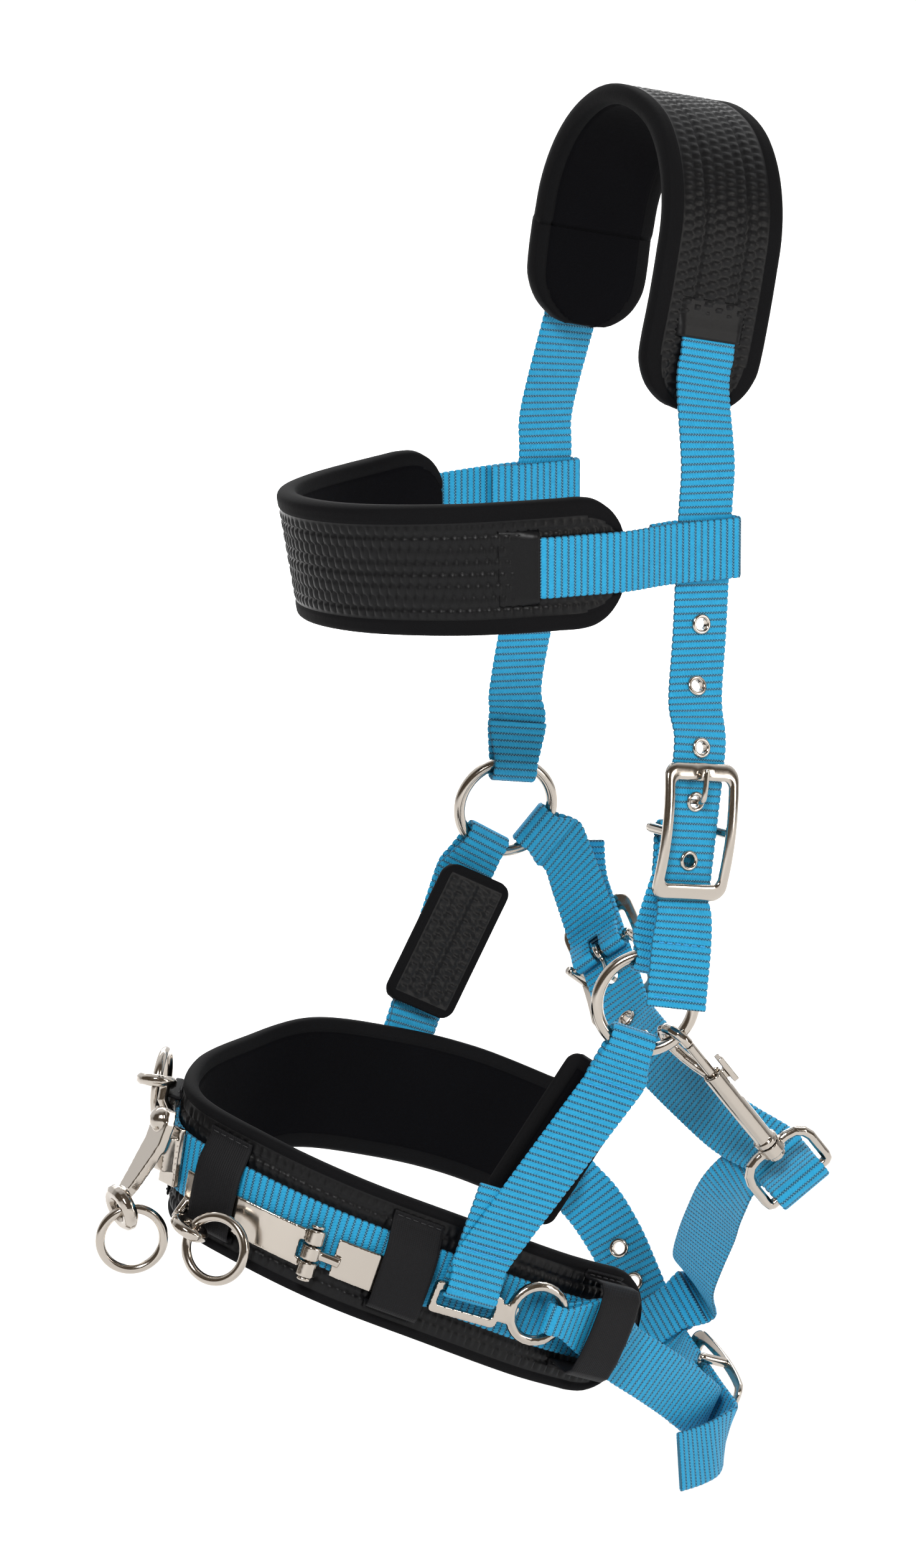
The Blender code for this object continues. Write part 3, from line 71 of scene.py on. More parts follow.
MM = 0.001                      # metres in a millimetre
WEB_W = 25.0                    # webbing width
WEB_T = 1.8                     # webbing thickness
GAP = 0.35                      # clearance kept between touching pieces
LAYER = WEB_T + GAP             # pitch of two webbing layers
PINCH_W = 19.0                  # webbing width where it bunches on a ring
COVER_T = 1.0                   # embossed outer cover of a pad
FOAM_T = 4.6                    # foam and lining of a pad
COVER_OUT = WEB_T / 2 + GAP + COVER_T / 2      # cover level, from the strap's middle
FOAM_IN = -(WEB_T / 2 + GAP + FOAM_T / 2)      # foam level, from the strap's middle
OVER_COVER = COVER_OUT + COVER_T / 2 + GAP + WEB_T / 2   # a strap lying on the cover
CROWN_W = 55.0                  # crown pad width
BROW_W = 54.0                   # browband pad height
NOSE_W = 55.0                   # noseband pad height
RING_R, RING_WIRE = 20.0, 2.5   # cheek rings: centre-line radius, wire radius
NOSE_RING_R, NOSE_WIRE = 13.0, 2.0
BUCKLE_W, BUCKLE_H = 35.0, 56.0
BUCKLE_T = 2.4                  # frame thickness
BUCKLE_SIDE_RAIL, BUCKLE_END_RAIL = 4.4, 7.0
BUCKLE_DOME = 4.0               # how far the middle of the frame stands above its ends
BAR_R = 1.5                     # buckle centre bar radius
STRAP_LEVEL = 5.0               # level of the strap threaded over the centre bar
TONGUE_R = 1.2                  # tongue wire radius
TONGUE_HOLE = 12.0              # from the bar to the eyelet that the tongue stands in
EYELET_HOLE, EYELET_TUBE, EYELET_FLANGE = 2.5, 3.0, 4.2  # radii


def unit(x, y, z):
    return Vector((x, y, z)).normalized()


def square_to(direction, axis):
    """The part of direction at right angles to axis, as a unit vector."""
    return (direction - axis * direction.dot(axis)).normalized()


def basis(origin, x_axis, z_axis):
    """A frame in mm: local X along x_axis, local Z near z_axis."""
    x = x_axis.normalized()
    z = square_to(z_axis, x)
    y = z.cross(x)
    return Matrix.Translation(origin) @ Matrix((x, y, z)).transposed().to_4x4()


NEAR_RING = Vector((-60, -86, -347))
FAR_RING = Vector((-35, 80, -300))
NEAR_RING_N = unit(-0.315, -0.949, -0.035)
FAR_RING_N = unit(0.223, 0.960, 0.169)
UP = Vector((0, 0, 1))


def on_ring(centre, normal, degrees, radius=RING_R):
    """A point of a ring, and the outward direction there; 0 degrees is to the rear, 90 up."""
    rear = square_to(Vector((1, 0, 0)), normal)
    up = square_to(UP - rear * UP.dot(rear), normal)
    angle = math.radians(degrees)
    away = rear * math.cos(angle) + up * math.sin(angle)
    return centre + away * radius, away


def smooth(stations, steps=4):
    """Stations along a smooth (Catmull-Rom) line through given ones."""
    ends = [stations[0]] + list(stations) + [stations[-1]]
    out = []
    for a, b, c, d in zip(ends, ends[1:], ends[2:], ends[3:]):
        for k in range(steps):
            t = k / steps
            out.append(tuple(
                0.5 * (2 * q + (r - p) * t + (2 * p - 5 * q + 4 * r - s) * t * t
                       + (3 * q - p - 3 * r + s) * t ** 3)
                for p, q, r, s in zip(a, b, c, d)))
    out.append(stations[-1])
    return out


def outwards(stations, towards):
    """Surface normals of a strip, on the side that towards(centre) points to."""
    found = []
    for i, (centre, side, _) in enumerate(stations):
        before = stations[max(i - 1, 0)][0]
        after = stations[min(i + 1, len(stations) - 1)][0]
        normal = (after - before).cross(side).normalized()
        found.append(normal if normal.dot(towards(centre)) > 0 else -normal)
    return found


def looped_end(bar, away, out, like, radius, depth=0.0, pinch=WEB_W, tail=22.0, lead=14.0):
    """A strap's sewn end: the tail, round the bar, then out along the strap.

    away points from the bar along the strap and out to its outer face; depth lengthens
    the eye for a bar that is curved.
    """
    side = away.cross(out).normalized()
    if side.dot(like) < 0:
        side = -side
    level = LAYER / 2

    def place(x, y, w):
        return (bar + away * x + out * y, side, w)

    middle = (radius + level) / 2
    arc = [place(-depth + radius * math.cos(math.radians(270 - 30 * k)),
                 radius * math.sin(math.radians(270 - 30 * k)), pinch) for k in range(7)]
    stations = [place(tail, -level, WEB_W), place(lead, -level, WEB_W),
                place(lead / 2, -middle, (WEB_W + pinch) / 2)]
    if depth > 0.5:
        stations += [place(0, -radius, pinch)] + arc + [place(0, radius, pinch)]
    else:
        stations += arc
    stations += [place(lead / 2, middle, (WEB_W + pinch) / 2), place(lead, level, WEB_W)]
    return stations


def ribbon(points, hints, width=WEB_W):
    """Stations through points; each hint is turned square to the run to give the side."""
    found = []
    for i, point in enumerate(points):
        run = (points[min(i + 1, len(points) - 1)] - points[max(i - 1, 0)]).normalized()
        found.append((point, square_to(hints[i], run), width))
    return found


def on_strap(stations, index, t=0.0):
    """The middle of a strap part-way between two stations, and its normal."""
    (a, side_a, _), (b, side_b, _) = stations[index], stations[index + 1]
    return a.lerp(b, t), (b - a).cross(side_a.lerp(side_b, t)).normalized()


def rounded_ends(stations, width, radius):
    """Add stations at both ends of a run so that a pad ends in round corners."""
    def cap(first, second):
        step = (first[0] - second[0]).normalized()
        found = []
        for degrees in (20, 42, 65, 84):
            a = math.radians(degrees)
            found.append((first[0] + step * radius * math.sin(a), first[1],
                          width - 2 * radius * (1 - math.cos(a))))
        return found
    body = [(c, s, width) for c, s, _ in stations]
    return cap(body[0], body[1])[::-1] + body + cap(body[-1], body[-2])


def dome_level(x):
    """Height of the middle of a buckle frame's wall over the centre bar."""
    end = STRAP_LEVEL + WEB_T / 2 + GAP + BUCKLE_T / 2 + 0.4
    return end + BUCKLE_DOME * (1 - (2 * x / BUCKLE_H) ** 2)


# ---- materials --------------------------------------------------------------
def new_material(name, colour, roughness, metallic=0.0):
    made = bpy.data.materials.new(name)
    made.use_nodes = True
    shader = made.node_tree.nodes["Principled BSDF"]
    shader.inputs["Base Color"].default_value = (*colour, 1.0)
    shader.inputs["Roughness"].default_value = roughness
    shader.inputs["Metallic"].default_value = metallic
    return made, made.node_tree, shader


def link(tree, a, b):
    tree.links.new(a, b)


def node(tree, kind, **values):
    made = tree.nodes.new(kind)
    for key, value in values.items():
        if key in made.inputs:
            made.inputs[key].default_value = value
        else:
            setattr(made, key, value)
    return made


def strap_coordinates(tree):
    """(across, along) in millimetres, from the UV map that each strap carries."""
    uv = node(tree, "ShaderNodeUVMap", uv_map="strap")
    parts = node(tree, "ShaderNodeSeparateXYZ")
    link(tree, uv.outputs["UV"], parts.inputs[0])
    return uv, parts.outputs["X"], parts.outputs["Y"]


def maths(tree, operation, a, b=None, c=None):
    made = node(tree, "ShaderNodeMath", operation=operation)
    for socket, value in zip(made.inputs, (a, b, c)):
        if value is None:
            continue
        if isinstance(value, (int, float)):
            socket.default_value = value
        else:
            link(tree, value, socket)
    return made.outputs[0]


def mix(tree, factor, a, b):
    made = node(tree, "ShaderNodeMix", data_type="RGBA")
    if isinstance(factor, (int, float)):
        made.inputs[0].default_value = factor
    else:
        link(tree, factor, made.inputs[0])
    for socket, value in ((made.inputs[6], a), (made.inputs[7], b)):
        if isinstance(value, tuple):
            socket.default_value = (*value, 1.0)
        else:
            link(tree, value, socket)
    return made.outputs[2]


def bump(tree, shader, height, distance, strength=1.0):
    made = node(tree, "ShaderNodeBump", Strength=strength, Distance=distance)
    link(tree, height, made.inputs["Height"])
    link(tree, made.outputs["Normal"], shader.inputs["Normal"])


def webbing_material():
    """Azure nylon: smooth ribs, and between them a row of small light thread ends, in grooves
    darkened with painted shade.
    """
    made, tree, shader = new_material("azure_webbing", (0.02, 0.27, 0.60), 0.5)
    shader.inputs["Sheen Weight"].default_value = 0.08
    shader.inputs["Sheen Roughness"].default_value = 0.4
    shader.inputs["Specular IOR Level"].default_value = 0.35

    def m(operation, *values):
        return maths(tree, operation, *values)

    uv, across, along = strap_coordinates(tree)
    phase = m("FRACT", m("DIVIDE", along, RIB))
    # 1 in the groove, 0 on the rib
    edge = m("MULTIPLY", m("ABSOLUTE", m("SUBTRACT", phase, 0.5)), 2.0)
    groove = m("SMOOTH_MIN", m("MAXIMUM", m("MULTIPLY", m("SUBTRACT", edge, 0.54), 3.2), 0.0),
               1.0, 0.1)
    row = m("FLOOR", m("DIVIDE", along, RIB))
    slant = m("MULTIPLY", m("SUBTRACT", phase, 0.5), 0.9)
    threads = m("FRACT", m("ADD", m("ADD", m("DIVIDE", across, THREAD), slant),
                           m("MULTIPLY", row, 0.37)))
    bead = m("SUBTRACT", 1.0, m("MULTIPLY", m("ABSOLUTE", m("SUBTRACT", threads, 0.5)), 2.0))
    noise = node(tree, "ShaderNodeTexNoise", Scale=0.35, Detail=3.0, Roughness=0.6)
    link(tree, uv.outputs["UV"], noise.inputs["Vector"])
    fine = node(tree, "ShaderNodeTexNoise", Scale=3.2, Detail=2.0, Roughness=0.6)
    link(tree, uv.outputs["UV"], fine.inputs["Vector"])
    rib_colour = mix(tree, noise.outputs["Fac"], (0.003, 0.215, 0.46), (0.006, 0.350, 0.64))
    # painted highlight: fine noise lightens the ribs in specks towards pale azure
    rib_colour = mix(tree, m("MULTIPLY", fine.outputs["Fac"], 0.35), rib_colour,
                     (0.02, 0.50, 0.80))
    # painted shade: the groove colour runs from near-black blue between the threads to light at
    # each thread's crest
    groove_threads_and_shade = mix(tree, m("MULTIPLY", m("MULTIPLY", bead, bead), bead), (0.0006, 0.034, 0.10),
                        (0.20, 0.68, 0.90))
    # the grooves take the painted shade colour above
    colour = mix(tree, m("MULTIPLY", groove, 0.95), rib_colour, groove_threads_and_shade)
    link(tree, colour, shader.inputs["Base Color"])
    height = m("ADD", m("MULTIPLY", m("MULTIPLY", bead, groove), 0.9),
               m("MULTIPLY", fine.outputs["Fac"], 0.5))
    height = m("ADD", height, m("MULTIPLY", bead, 0.25))
    bump(tree, shader, height, 0.0005, 1.0)
    return made


def fabric_material(name, colour, roughness, scale, depth, sheen=0.0, gloss=0.2):
    """Black cloth with a fine grain."""
    made, tree, shader = new_material(name, colour, roughness)
    shader.inputs["Sheen Weight"].default_value = sheen
    shader.inputs["Specular IOR Level"].default_value = gloss
    shader.inputs["Sheen Roughness"].default_value = 0.5
    place = node(tree, "ShaderNodeTexCoord")
    fine = node(tree, "ShaderNodeTexNoise", Scale=scale, Detail=4.0, Roughness=0.65)
    link(tree, place.outputs["Object"], fine.inputs["Vector"])
    broad = node(tree, "ShaderNodeTexNoise", Scale=scale / 25, Detail=2.0)
    link(tree, place.outputs["Object"], broad.inputs["Vector"])
    tone = mix(tree, broad.outputs["Fac"], tuple(c * 0.75 for c in colour),
               tuple(c * 1.35 for c in colour))
    link(tree, tone, shader.inputs["Base Color"])
    bump(tree, shader, fine.outputs["Fac"], depth, 0.6)
    return made


def ribbon_material():
    """Flat black ribbon with fine ribs across it."""
    made, tree, shader = new_material("black_ribbon", (0.0040, 0.0040, 0.0050), 0.65)
    shader.inputs["Specular IOR Level"].default_value = 0.2

    def m(operation, *values):
        return maths(tree, operation, *values)

    _, across, along = strap_coordinates(tree)
    rib = m("FRACT", m("DIVIDE", across, 0.9))
    rib = m("ABSOLUTE", m("SUBTRACT", rib, 0.5))
    weave = m("ABSOLUTE", m("SUBTRACT", m("FRACT", m("DIVIDE", along, 0.7)), 0.5))
    bump(tree, shader, m("ADD", rib, m("MULTIPLY", weave, 0.5)), 0.0003, 0.6)
    return made


def nickel_material():
    made, tree, shader = new_material("polished_nickel", (0.50, 0.455, 0.405), 0.13, 1.0)
    place = node(tree, "ShaderNodeTexCoord")
    noise = node(tree, "ShaderNodeTexNoise", Scale=90.0, Detail=2.0)
    link(tree, place.outputs["Object"], noise.inputs["Vector"])
    bump(tree, shader, noise.outputs["Fac"], 0.0004, 0.10)
    grain = node(tree, "ShaderNodeTexNoise", Scale=400.0, Detail=3.0)
    link(tree, place.outputs["Object"], grain.inputs["Vector"])
    rough = node(tree, "ShaderNodeMapRange")
    link(tree, grain.outputs["Fac"], rough.inputs["Value"])
    rough.inputs["To Min"].default_value = 0.09
    rough.inputs["To Max"].default_value = 0.20
    link(tree, rough.outputs["Result"], shader.inputs["Roughness"])
    return made


RIB = 2.9                 # pitch of the webbing's ribs
THREAD = 1.25             # pitch of the threads along a groove
WEBBING = webbing_material()
BINDING = fabric_material("black_binding", (0.0026, 0.0026, 0.0032), 0.80, 900, 0.0002, 0.0, 0.12)
LINING = fabric_material("black_lining", (0.0016, 0.0016, 0.0024), 0.88, 700, 0.0002, 0.0, 0.08)
EMBOSSED = fabric_material("black_embossed", (0.0035, 0.0036, 0.0042), 0.40, 500, 0.0001, 0.0, 0.20)
RIBBON = ribbon_material()
NICKEL = nickel_material()
BLUE_THREAD, _, _ = new_material("azure_thread", (0.03, 0.34, 0.70), 0.55)
BLACK_THREAD, _, _ = new_material("black_thread", (0.012, 0.012, 0.014), 0.55)


# ---- making pieces ----------------------------------------------------------
def place_piece(name, mesh, materials, body, stands_for=(), smooth_faces=True):
    made = bpy.data.objects.new(name, mesh)
    bpy.context.scene.collection.objects.link(made)
    for finish in materials:
        mesh.materials.append(finish)
    if smooth_faces:
        mesh.shade_smooth()
    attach(made, body)
    if stands_for:
        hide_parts(*stands_for)
    return made


def mesh_from(name, points, faces, uvs=None, finishes=None):
    """A mesh in metres from points in mm; uvs are one (across, along) pair per point."""
    mesh = bpy.data.meshes.new(name)
    mesh.from_pydata([p * MM for p in points], [], faces)
    if uvs:
        layer = mesh.uv_layers.new(name="strap")
        for loop in mesh.loops:
            layer.data[loop.index].uv = uvs[loop.vertex_index]
    if finishes:
        for polygon, finish in zip(mesh.polygons, finishes):
            polygon.material_index = finish
    mesh.update()
    return mesh


def face_outwards(mesh):
    """Turn every face of a closed mesh outwards."""
    shape = bmesh.new()
    shape.from_mesh(mesh)
    bmesh.ops.recalc_face_normals(shape, faces=shape.faces)
    shape.to_mesh(mesh)
    shape.free()


class Line:
    """A strap's line, measured along it in mm."""

    def __init__(self, stations, steps=4):
        self.run = smooth(stations, steps) if steps > 1 else list(stations)
        self.at = [0.0]
        for (a, _, _), (b, _, _) in zip(self.run, self.run[1:]):
            self.at.append(self.at[-1] + (b - a).length)
        self.length = self.at[-1]
        self.normals = []
        before = None
        for i, (_, side, _) in enumerate(self.run):
            a = self.run[max(i - 1, 0)][0]
            b = self.run[min(i + 1, len(self.run) - 1)][0]
            normal = (b - a).cross(side).normalized()
            if before is not None and normal.dot(before) < 0:
                normal = -normal
            self.normals.append(normal)
            before = normal
        self.seek = 0

    def __call__(self, s):
        """(centre, side, normal, width) at distance s."""
        s = min(max(s, 0.0), self.length)
        i = self.seek
        while i > 0 and self.at[i] > s:
            i -= 1
        while i < len(self.at) - 2 and self.at[i + 1] < s:
            i += 1
        self.seek = i
        span = self.at[i + 1] - self.at[i]
        t = (s - self.at[i]) / span if span > 1e-9 else 0.0
        (a, side_a, w_a), (b, side_b, w_b) = self.run[i], self.run[i + 1]
        normal = self.normals[i].lerp(self.normals[i + 1], t).normalized()
        side = square_to(side_a.lerp(side_b, t), normal)
        return a.lerp(b, t), side, normal, w_a + (w_b - w_a) * t

    def nearest(self, point):
        best = min(range(len(self.run)), key=lambda i: (self.run[i][0] - point).length)
        return self.at[best]


ACROSS = (0.0, 0.012, 0.045, 0.10, 0.22, 0.39, 0.61, 0.78, 0.90, 0.955, 0.988, 1.0)
RIB_STEPS = ((0.0, -0.24), (0.16, 0.04), (0.5, 0.12), (0.84, 0.04))   # part of a rib, level
CUT_LEVEL = -0.25         # level of a strap's cut ends
SLOT_COLUMN, SLOT_W = 5, 5.2    # the slot lies between this column of ACROSS and the next
SEAM_INSET = 2.2          # from a strap's edge to the first stitch
BACK_SHIFT = 40.0         # keeps the two faces apart in the UV map


def strip(name, stations, body, slots=()):
    """A webbing strap with ribs, rounded selvedges and, where asked, a buckle slot.

    slots are station ranges where the middle of the strap is open.
    """
    line = Line(stations)
    ranges = [(line.nearest(stations[first][0]), line.nearest(stations[last][0]))
              for first, last in slots]
    rows = [((k + t) * RIB, level) for k in range(int(line.length / RIB) + 1)
            for t, level in RIB_STEPS if (k + t) * RIB <= line.length]
    rows[0] = (0.0, CUT_LEVEL)
    rows.append((line.length, CUT_LEVEL))
    half_t = WEB_T / 2 - 0.06
    points, uvs, faces, rings = [], [], [], []
    for s, level in rows:
        centre, side, normal, width = line(s)
        open_here = any(a <= s <= b for a, b in ranges)
        spread = width / 2 - 0.1 + level * 1.4
        tops, bottoms = [], []
        for k, c in enumerate(ACROSS):
            u = c * 2 - 1
            x = u * spread
            if open_here and k in (SLOT_COLUMN, SLOT_COLUMN + 1):
                x = math.copysign(SLOT_W / 2, u)
            edge = 1.0 - abs(u)
            rim = math.sqrt(max(0.0, 1 - max(0.0, 1 - edge * width / 2) ** 2))
            lift = (half_t + level * (0.6 if edge > 0.05 else 0.2)) * rim
            tops.append((centre + side * x + normal * lift, (x, s)))
            bottoms.append((centre + side * x - normal * lift, (x + BACK_SHIFT, s)))
        ring = tops + bottoms[::-1][1:-1]
        rings.append((len(points), open_here))
        points += [point for point, _ in ring]
        uvs += [uv for _, uv in ring]
    # the ring runs over the top, and back along the bottom
    count = 2 * (len(ACROSS) - 1)
    top_left, top_right = SLOT_COLUMN, SLOT_COLUMN + 1
    low_left = count - SLOT_COLUMN
    low_right = low_left - 1
    for (a, open_a), (b, open_b) in zip(rings, rings[1:]):
        hole = open_a and open_b
        for j in range(count):
            k = (j + 1) % count
            if not (hole and j in (top_left, low_right)):
                faces.append((a + j, b + j, b + k, a + k))
        if hole:
            faces.append((a + top_left, b + top_left, b + low_left, a + low_left))
            faces.append((a + top_right, a + low_right, b + low_right, b + top_right))
        elif open_a != open_b:
            r = a if open_a else b
            quad = (r + top_left, r + top_right, r + low_right, r + low_left)
            faces.append(quad if open_a else quad[::-1])
    first, last = rings[0][0], rings[-1][0]
    faces.append(tuple(range(first, first + count)))
    faces.append(tuple(range(last, last + count))[::-1])
    mesh = mesh_from(name, points, faces, uvs)
    return place_piece("strap_" + name, mesh, [WEBBING], body, (name,))


def folded(first, second):
    """The stations of a strap folded round two bars, its cut ends butted in the inner layer."""
    between = smooth([first[-2], first[-1], second[-1], second[-2]], 4)[5:-5]
    return first + between + second[::-1]


def capsule(points, faces, a, b, radius, out):
    """A short thread from a to b, standing up as a low arch."""
    axis = (b - a).normalized()
    across = axis.cross(out).normalized()
    start = len(points)
    sides = 6
    for t, r, lift in ((0.0, 0.25, -0.3), (0.12, 0.8, 0.0), (0.5, 1.0, 0.25), (0.88, 0.8, 0.0),
                       (1.0, 0.25, -0.3)):
        centre = a.lerp(b, t) + out * lift * radius
        for k in range(sides):
            angle = 2 * math.pi * k / sides
            points.append(centre + (across * math.cos(angle) + out * math.sin(angle)) * radius * r)
    for row in range(4):
        for k in range(sides):
            n = (k + 1) % sides
            i = start + row * sides
            faces.append((i + k, i + n, i + sides + n, i + sides + k))


def stitches(name, runs, body, thread=BLUE_THREAD, length=2.3, gap=0.9, radius=0.32):
    """Rows of thread: each run is (start, end, outward direction) on a surface."""
    points, faces = [], []
    for start, end, out in runs:
        total = (end - start).length
        count = max(1, int(total / (length + gap)))
        step = (end - start).normalized()
        for k in range(count):
            a = start + step * (total * k / count + gap / 2)
            b = start + step * (total * (k + 1) / count - gap / 2)
            capsule(points, faces, a, b, radius, out)
    mesh = mesh_from(name, points, faces)
    return place_piece(name, mesh, [thread], body)


def strap_rows(stations, at, both=True):
    """Stitch runs straight across a strap at distances along it; negative from its end."""
    line = Line(stations)
    runs = []
    for s in at:
        centre, side, normal, width = line(s if s >= 0 else line.length + s)
        reach = side * (width / 2 - SEAM_INSET)
        for out in ((normal, -normal) if both else (normal,)):
            level = out * (WEB_T / 2 + 0.12)
            runs.append((centre - reach + level, centre + reach + level, out))
    return runs


def torus(name, centre, normal, major, minor):
    """A wire ring, riding on the body of its own name."""
    bpy.ops.mesh.primitive_torus_add(major_radius=major * MM, minor_radius=minor * MM,
                                     major_segments=128, minor_segments=28)
    made = bpy.context.object
    mesh = made.data
    bpy.data.objects.remove(made, do_unlink=True)
    mesh.transform(Matrix.Translation(centre * MM)
                   @ normal.to_track_quat("Z", "Y").to_matrix().to_4x4())
    return place_piece("wire_" + name, mesh, [NICKEL], name, (name,))


def turned(profile, frame, sides=40, closed=True):
    """Points and faces of a profile (radius, height) turned about the frame's Z."""
    points, faces = [], []
    count = len(profile)
    for k in range(sides):
        a = 2 * math.pi * k / sides
        points += [frame @ Vector((r * math.cos(a), r * math.sin(a), z)) for r, z in profile]
    for k in range(sides):
        i, j = k * count, (k + 1) % sides * count
        for p in range(count if closed else count - 1):
            q = (p + 1) % count
            faces.append((i + p, j + p, j + q, i + q))
    return points, faces


def eyelet(name, strap, centre, normal, body):
    """A rolled grommet: a rounded flange on each face of the strap, and the hole it sits in."""
    face = WEB_T / 2 + 0.25
    profile = []
    middle = (EYELET_HOLE + EYELET_FLANGE) / 2
    half = (EYELET_FLANGE - EYELET_HOLE) / 2
    for hand in (1, -1):
        arc = [(middle + half * math.cos(math.radians(a)),
                hand * (face + 0.85 * math.sin(math.radians(a)))) for a in range(180, -1, -20)]
        profile += arc if hand == 1 else arc[::-1]
    frame_at = basis(centre, square_to(Vector((0.2, 0.3, 1)), normal), normal)
    points, faces = turned(profile, frame_at)
    mesh = mesh_from(name, points, faces)
    place_piece("rim_" + name, mesh, [NICKEL], body, (name,))
    punch(strap, centre, normal)


def punch(strap, centre, normal):
    """A round hole through a strap."""
    frame_at = basis(centre, square_to(Vector((0.2, 0.3, 1)), normal), normal)
    radius = EYELET_TUBE - 0.2
    points, faces = turned([(radius, -4.0), (radius, 4.0)], frame_at, 24, closed=False)
    faces += [tuple(range(0, 48, 2))[::-1], tuple(range(1, 48, 2))]
    cutter = bpy.data.objects.new("punch", mesh_from("punch", points, faces))
    bpy.context.scene.collection.objects.link(cutter)
    step = strap.modifiers.new("punch", "BOOLEAN")
    step.operation = "DIFFERENCE"
    step.object = cutter
    step.solver = "EXACT"
    bake(strap)
    bpy.data.objects.remove(cutter, do_unlink=True)


def bake(piece):
    """Apply a piece's modifiers."""
    bpy.context.view_layer.update()
    graph = bpy.context.evaluated_depsgraph_get()
    mesh = bpy.data.meshes.new_from_object(piece.evaluated_get(graph))
    piece.modifiers.clear()
    piece.data = mesh


def tube(points_in, radius, sides=14, cap=True, radii=None):
    """Points and faces of a round wire along a smoothed line of points."""
    run = [p for p, _, _ in smooth([(p, Vector((0, 0, 1)), 1.0) for p in points_in], 4)]
    if radii is None:
        radii = [radius] * len(run)
    else:
        radii = [radius * radii(i / (len(run) - 1)) for i in range(len(run))]
    points, faces = [], []
    across = None
    for i, p in enumerate(run):
        ahead = (run[min(i + 1, len(run) - 1)] - run[max(i - 1, 0)]).normalized()
        if across is None:
            across = ahead.orthogonal().normalized()
        across = square_to(across, ahead)
        other = ahead.cross(across)
        for k in range(sides):
            a = 2 * math.pi * k / sides
            points.append(p + (across * math.cos(a) + other * math.sin(a)) * radii[i])
    for i in range(len(run) - 1):
        for k in range(sides):
            n = (k + 1) % sides
            faces.append((i * sides + k, i * sides + n, (i + 1) * sides + n, (i + 1) * sides + k))
    if cap:
        faces.append(tuple(range(sides))[::-1])
        last = (len(run) - 1) * sides
        faces.append(tuple(range(last, last + sides)))
    return points, faces


def merge(*shapes):
    """Several (points, faces) shapes as one."""
    points, faces = [], []
    for more, loops in shapes:
        start = len(points)
        points += more
        faces += [tuple(i + start for i in loop) for loop in loops]
    return points, faces


def outline_points(width, height, radius, steps=4):
    """A rectangle with round corners, anticlockwise."""
    corners = ((width / 2 - radius, height / 2 - radius, 0),
               (-width / 2 + radius, height / 2 - radius, 90),
               (-width / 2 + radius, -height / 2 + radius, 180),
               (width / 2 - radius, -height / 2 + radius, 270))
    points = []
    for x, y, start in corners:
        for k in range(steps + 1):
            a = math.radians(start + 90 * k / steps)
            points.append((x + radius * math.cos(a), y + radius * math.sin(a)))
    return points


def dense_outline(width, height, radius):
    """The same outline with extra points on its straight sides."""
    points = outline_points(width, height, radius, 6)
    dense = []
    for (x0, y0), (x1, y1) in zip(points, points[1:] + points[:1]):
        pieces = 8 if abs(x1 - x0) + abs(y1 - y0) > 8 else 1
        dense += [(x0 + (x1 - x0) * k / pieces, y0 + (y1 - y0) * k / pieces) for k in range(pieces)]
    return dense


def buckle(name, frame_at, body, tongue_body):
    """A cast centre-bar buckle: domed frame with bevelled rails, bar, and wire tongue."""
    outer = dense_outline(BUCKLE_H, BUCKLE_W, 6.0)
    inner = dense_outline(BUCKLE_H - 2 * BUCKLE_END_RAIL, BUCKLE_W - 2 * BUCKLE_SIDE_RAIL, 2.5)
    t = BUCKLE_T / 2
    section = ((0.0, -t * 0.9), (0.0, -0.1), (0.05, t * 0.45), (0.16, t * 0.8), (0.34, t * 0.96),
               (0.5, t * 1.0), (0.66, t * 0.96), (0.84, t * 0.8), (0.95, t * 0.45), (1.0, -0.1),
               (1.0, -t * 0.9), (0.9, -t), (0.1, -t))
    points, faces = [], []
    for (x0, y0), (x1, y1) in zip(outer, inner):
        for across, level in section:
            x, y = x0 + (x1 - x0) * across, y0 + (y1 - y0) * across
            groove = 0.0
            if x > BUCKLE_H / 2 - BUCKLE_END_RAIL and abs(y) < 2.2 and level > 0:
                groove = 0.7 * (1 - (y / 2.2) ** 2)
            points.append(frame_at @ Vector((x, y, dome_level(x) + level - groove)))
    rings, count = len(outer), len(section)
    for i in range(rings):
        j = (i + 1) % rings
        for k in range(count):
            n = (k + 1) % count
            faces.append((i * count + k, j * count + k, j * count + n, i * count + n))
    across = (BUCKLE_W - BUCKLE_SIDE_RAIL) / 2
    low = [frame_at @ Vector((0, y, 0)) for y in (-across, -across / 2, 0, across / 2, across)]
    shapes = [(points, faces), tube(low, BAR_R)]
    for hand in (-1, 1):
        post = [frame_at @ Vector((0, hand * across, z))
                for z in (-1.6, 0, 2.5, 5.0, dome_level(0) - 0.6)]
        shapes.append(tube(post, 2.1, radii=lambda q: 0.9 if q < 0.2 else 1.0))
    mesh = mesh_from(name, *merge(*shapes))
    place_piece("cast_" + name + "_frame", mesh, [NICKEL], body, (name + "_frame",))

    ring = BAR_R + GAP + TONGUE_R
    tip = BUCKLE_H / 2 - 2.0
    rest = dome_level(tip - 4.0) + BUCKLE_T / 2 + GAP + TONGUE_R
    path = [(ring * math.cos(math.radians(a)), ring * math.sin(math.radians(a)))
            for a in range(-250, 1, 25)]
    path += [(ring + 2.0, 0.9), (TONGUE_HOLE - 2.0, 0.9), (TONGUE_HOLE - 0.3, 2.4),
             (TONGUE_HOLE, STRAP_LEVEL), (TONGUE_HOLE + 0.6, rest - 2.0),
             (TONGUE_HOLE + 2.8, rest), (tip - 2.0, rest), (tip, rest - 0.2)]
    wire = tube([frame_at @ Vector((x, 0, z)) for x, z in path], TONGUE_R * 0.98,
                radii=lambda q: 1.0 if q < 0.97 else 0.8)
    mesh = mesh_from(name + "_tongue", *wire)
    place_piece("wire_" + name + "_tongue", mesh, [NICKEL], tongue_body, (name + "_tongue",))


